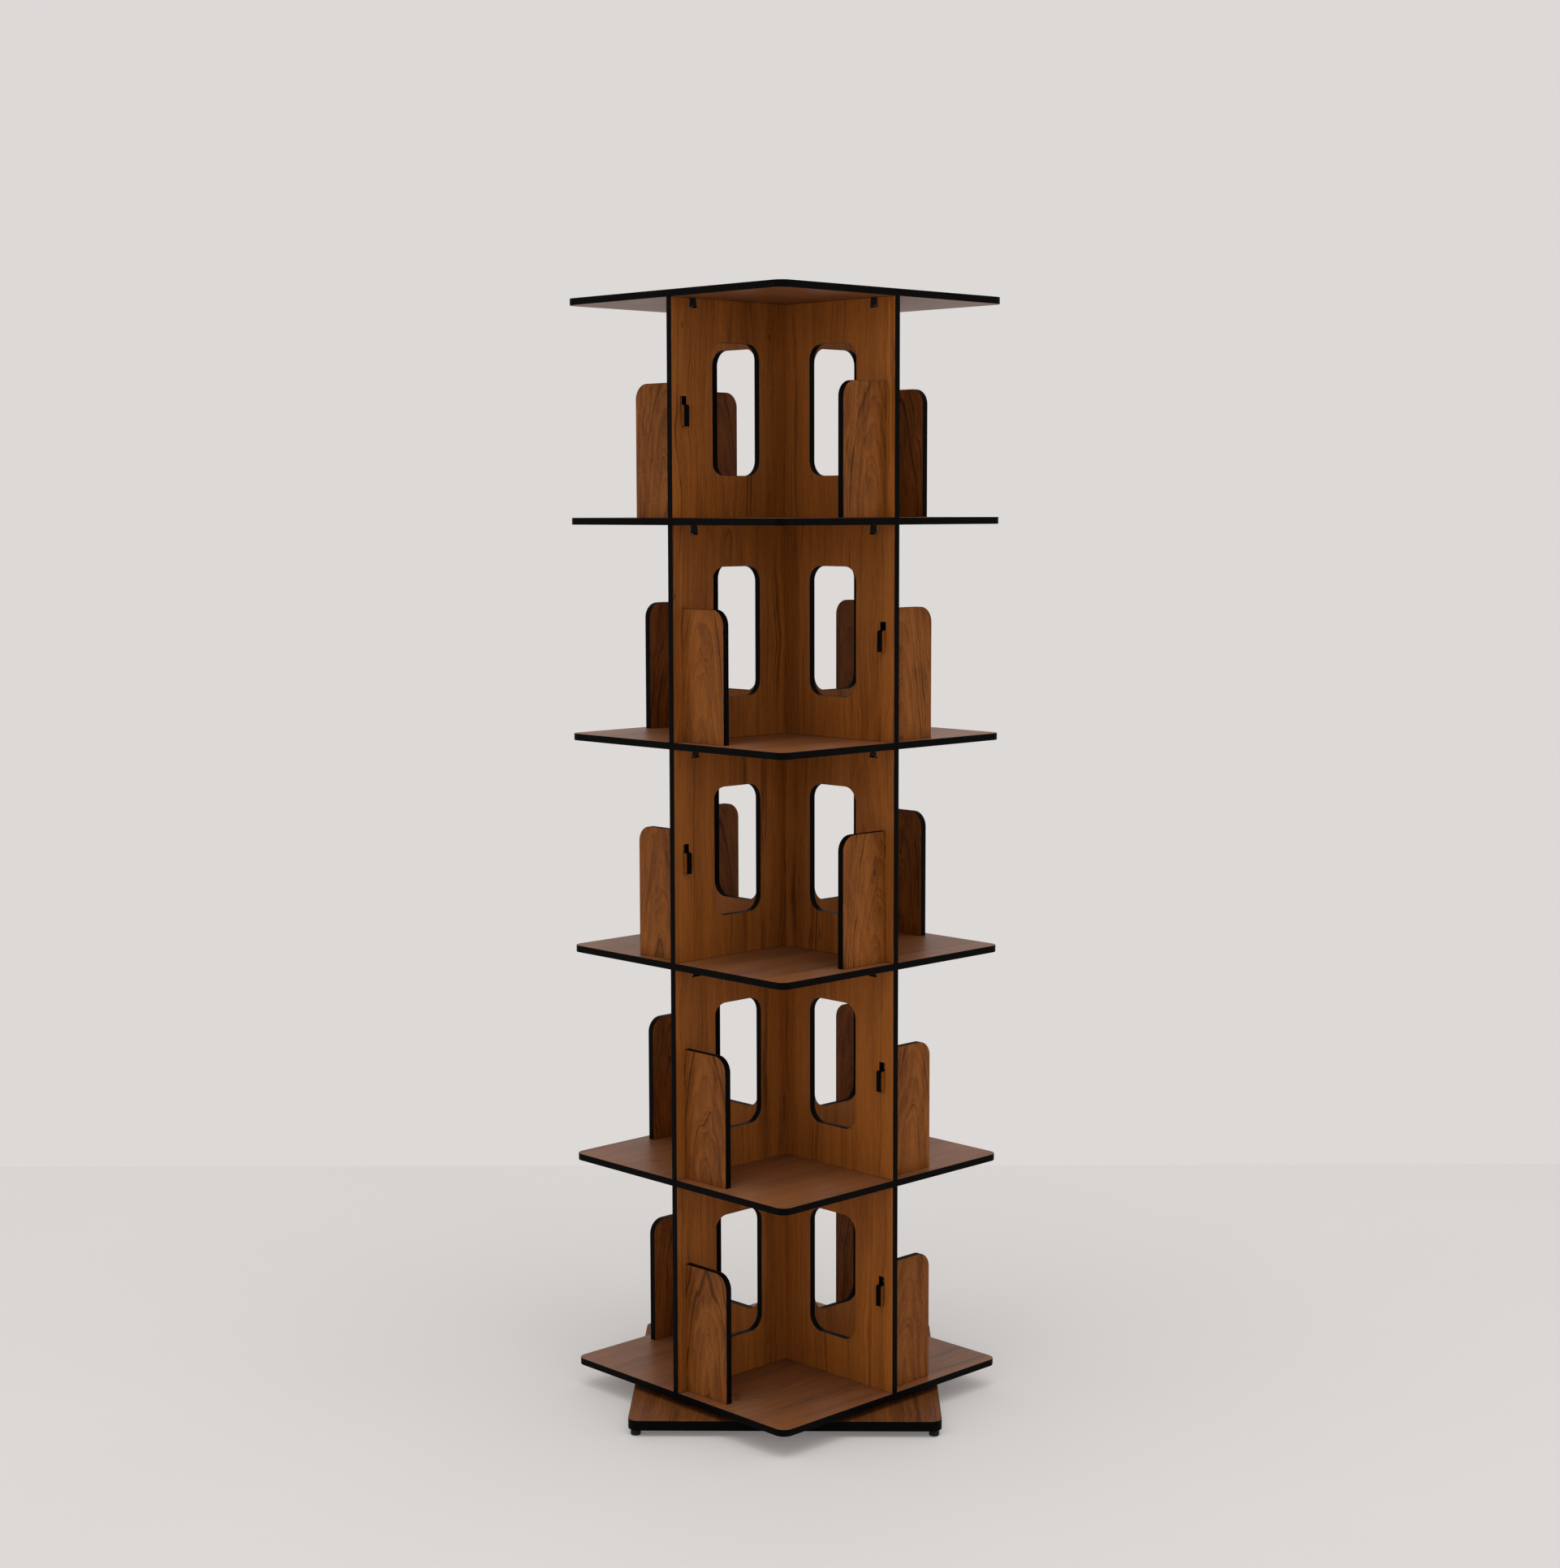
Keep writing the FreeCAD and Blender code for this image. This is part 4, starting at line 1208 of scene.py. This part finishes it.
class BOOKCASE_OT_ring_screws(bpy.types.Operator):
    """Make the screws that hold one ring to the base and the other to the bottom shelf"""

    bl_idname = "bookcase.ring_screws"
    bl_label = "Ring screws"

    def execute(self, context):
        settings = context.scene.bookcase_hardware
        head = settings.ring_screw_head_dia
        for node, body, flipped in (
            ("ring_screws_lower", "base", False), ("ring_screws_upper", "carousel", True),
        ):
            low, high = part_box(node)
            screw = socket_screw(head, RING_SCREW_DIA, high.z - low.z, settings.socket_flats)
            face = low.z if flipped else high.z
            places = round_places(screw_reach(node, head), [face], RING_SCREW_TURNS_DEG, flipped)
            turned_piece(node, "threaded", screw, places, body, steel_finish())
        return {"FINISHED"}


# Stage.

# Distances from the axis, in metres, at which the floor starts to turn into the background and is all
# background, and the share of the background's light that it has nearer.
HAZE_START = 1.5
HAZE_FULL = 3.2
FLOOR_GLOW = 0.2

# Lamps, in metres: their width, their places beside the axis, in front of it and above the floor, and the
# aim of both.
LAMP_WIDTH = 3.0
LAMP_ASIDE = 1.2
LAMP_BEFORE = 1.3
LAMP_HEIGHT = 4.6
LAMP_AIM = Vector((0, 0, 0.7))

WHITE = (1.0, 1.0, 1.0)


def view_place(right, back, height):
    """A point by its distances to the right of the axis and behind it in the view, and its height."""
    turn = Matrix.Rotation(math.radians(VIEW_TURN_DEG), 3, "Z")
    return turn @ Vector((right, back, height))


def seen_rays(tree):
    """1 for what the camera, reflections and glass see, 0 for light on its way to a surface."""
    rays = tree.nodes.new("ShaderNodeLightPath").outputs
    seen = calc(tree, "MAXIMUM", rays["Is Camera Ray"], rays["Is Glossy Ray"])
    return calc(tree, "MAXIMUM", seen, rays["Is Transmission Ray"])


def mixed_shader(tree, share, first, second):
    """A shader between two, by a share of the second."""
    inputs = {0: share, 1: first.outputs[0], 2: second.outputs[0]}
    return add_node(tree, "ShaderNodeMixShader", inputs).outputs[0]


def pale_world(settings):
    """Even soft light, with the pale background for what the camera and reflections see."""
    world = bpy.data.worlds.new("pale_room")
    world.use_nodes = True
    tree = world.node_tree
    tree.nodes.clear()
    light = add_node(tree, "ShaderNodeBackground", {"Color": opaque(WHITE), "Strength": settings.sky})
    wall = add_node(tree, "ShaderNodeBackground", {"Color": opaque(settings.wall_colour), "Strength": 1.0})
    add_node(tree, "ShaderNodeOutputWorld", {"Surface": mixed_shader(tree, seen_rays(tree), light, wall)})
    bpy.context.scene.world = world


def floor_material(name, settings):
    """Matt pale floor with a little of the background's light, and all of it far from the turning axis."""
    material, tree, shader, place = new_material(name)
    cloud = noise(tree, place, even(3.0), detail=3.0)
    fill_inputs(tree, shader, {
        "Base Color": toned(tree, settings.floor_colour, sum_of(tree, 0.985, (0.03, cloud))),
        "Roughness": 0.6,
        "Specular IOR Level": 0.2,
    })
    far = between(tree, length_of(tree, place), low=HAZE_START, high=HAZE_FULL)
    share = calc(tree, "MULTIPLY", calc(tree, "MAXIMUM", far, FLOOR_GLOW), seen_rays(tree))
    haze = add_node(tree, "ShaderNodeEmission", {"Color": opaque(settings.wall_colour), "Strength": 1.0})
    fill_inputs(tree, tree.nodes["Material Output"], {"Surface": mixed_shader(tree, share, shader, haze)})
    return material


def lay_floor(settings):
    """A flat floor whose back edge lies square to the view."""
    reach = settings.floor_reach
    back = settings.floor_back
    corners = [(-reach, -reach), (reach, -reach), (reach, back), (-reach, back)]
    mesh = bpy.data.meshes.new("studio_floor")
    mesh.from_pydata([view_place(x, y, 0) for x, y in corners], [], [(0, 1, 2, 3)])
    mesh.materials.append(material_of("studio_floor", floor_material, settings))
    add_object("studio_floor", mesh)


def soft_lamp(name, power, right):
    """A square soft lamp to the right of the axis or, below zero, to the left, turned towards its aim."""
    lamp = bpy.data.lights.new(name, "AREA")
    lamp.energy = power
    lamp.shape = "SQUARE"
    lamp.size = LAMP_WIDTH
    holder = add_object(name, lamp)
    holder.location = view_place(right, -LAMP_BEFORE, LAMP_HEIGHT)
    holder.rotation_euler = (LAMP_AIM - holder.location).to_track_quat("-Z", "Y").to_euler()


def fitted_camera():
    """The camera at the fitted place and turns, as the scene's own."""
    camera = bpy.data.cameras.new("view_camera")
    camera.sensor_width = SENSOR_MM
    camera.lens = FOCAL_LENGTH_PX * SENSOR_MM / PICTURE_HEIGHT_PX
    place = Matrix.Translation(view_place(0, -CAMERA_DISTANCE, CAMERA_HEIGHT))
    for turn_deg, axis in (
        (VIEW_TURN_DEG + CAMERA_YAW_DEG, "Z"),
        (CAMERA_PITCH_DEG, "X"),
        (CAMERA_ROLL_DEG, "Y"),
        (DOWN_TO_LEVEL_DEG, "X"),
    ):
        place = place @ Matrix.Rotation(math.radians(turn_deg), 4, axis)
    holder = add_object("view_camera", camera)
    holder.matrix_world = place
    bpy.context.scene.camera = holder


class BOOKCASE_OT_stage(bpy.types.Operator):
    """Lay the floor, set the light and place the camera"""

    bl_idname = "bookcase.stage"
    bl_label = "Stage"

    def execute(self, context):
        settings = context.scene.bookcase_stage
        lay_floor(settings)
        pale_world(settings)
        soft_lamp("key_lamp", settings.key, LAMP_ASIDE)
        soft_lamp("fill_lamp", settings.fill, -LAMP_ASIDE)
        fitted_camera()
        context.scene.view_settings.view_transform = "Standard"
        return {"FINISHED"}


# Panel and registration.

STEPS = (
    BOOKCASE_OT_base_board,
    BOOKCASE_OT_shelf_plates,
    BOOKCASE_OT_spine_panels,
    BOOKCASE_OT_book_stops,
    BOOKCASE_OT_feet,
    BOOKCASE_OT_foot_screws,
    BOOKCASE_OT_bolts,
    BOOKCASE_OT_captive_nuts,
    BOOKCASE_OT_locating_pins,
    BOOKCASE_OT_turntable_rings,
    BOOKCASE_OT_turntable_balls,
    BOOKCASE_OT_ring_screws,
    BOOKCASE_OT_stage,
)
SETTINGS = {
    "bookcase_boards": BoardSettings,
    "bookcase_hardware": HardwareSettings,
    "bookcase_stage": StageSettings,
}


class BOOKCASE_PT_sidebar(bpy.types.Panel):
    """Steps and settings of the bookcase"""

    bl_label = "Bookcase"
    bl_idname = "BOOKCASE_PT_sidebar"
    bl_space_type = "VIEW_3D"
    bl_region_type = "UI"
    bl_category = "Bookcase"

    def draw(self, context):
        for step in STEPS:
            self.layout.operator(step.bl_idname)
        for name in SETTINGS:
            group = getattr(context.scene, name)
            box = self.layout.box()
            for key in group.__annotations__:
                box.prop(group, key)


def register():
    """Add the settings, the steps and the panel."""
    for kind in (*SETTINGS.values(), *STEPS, BOOKCASE_PT_sidebar):
        bpy.utils.register_class(kind)
    for name, kind in SETTINGS.items():
        setattr(bpy.types.Scene, name, bpy.props.PointerProperty(type=kind))


def unregister():
    """Take away what register added."""
    for name in SETTINGS:
        delattr(bpy.types.Scene, name)
    for kind in reversed((*SETTINGS.values(), *STEPS, BOOKCASE_PT_sidebar)):
        bpy.utils.unregister_class(kind)


def main():
    """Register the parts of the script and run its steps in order."""
    register()
    bpy.ops.bookcase.base_board()
    bpy.ops.bookcase.shelf_plates()
    bpy.ops.bookcase.spine_panels()
    bpy.ops.bookcase.book_stops()
    bpy.ops.bookcase.feet()
    bpy.ops.bookcase.foot_screws()
    bpy.ops.bookcase.bolts()
    bpy.ops.bookcase.captive_nuts()
    bpy.ops.bookcase.locating_pins()
    bpy.ops.bookcase.turntable_rings()
    bpy.ops.bookcase.turntable_balls()
    bpy.ops.bookcase.ring_screws()
    bpy.ops.bookcase.stage()


if __name__ == "__main__":
    main()
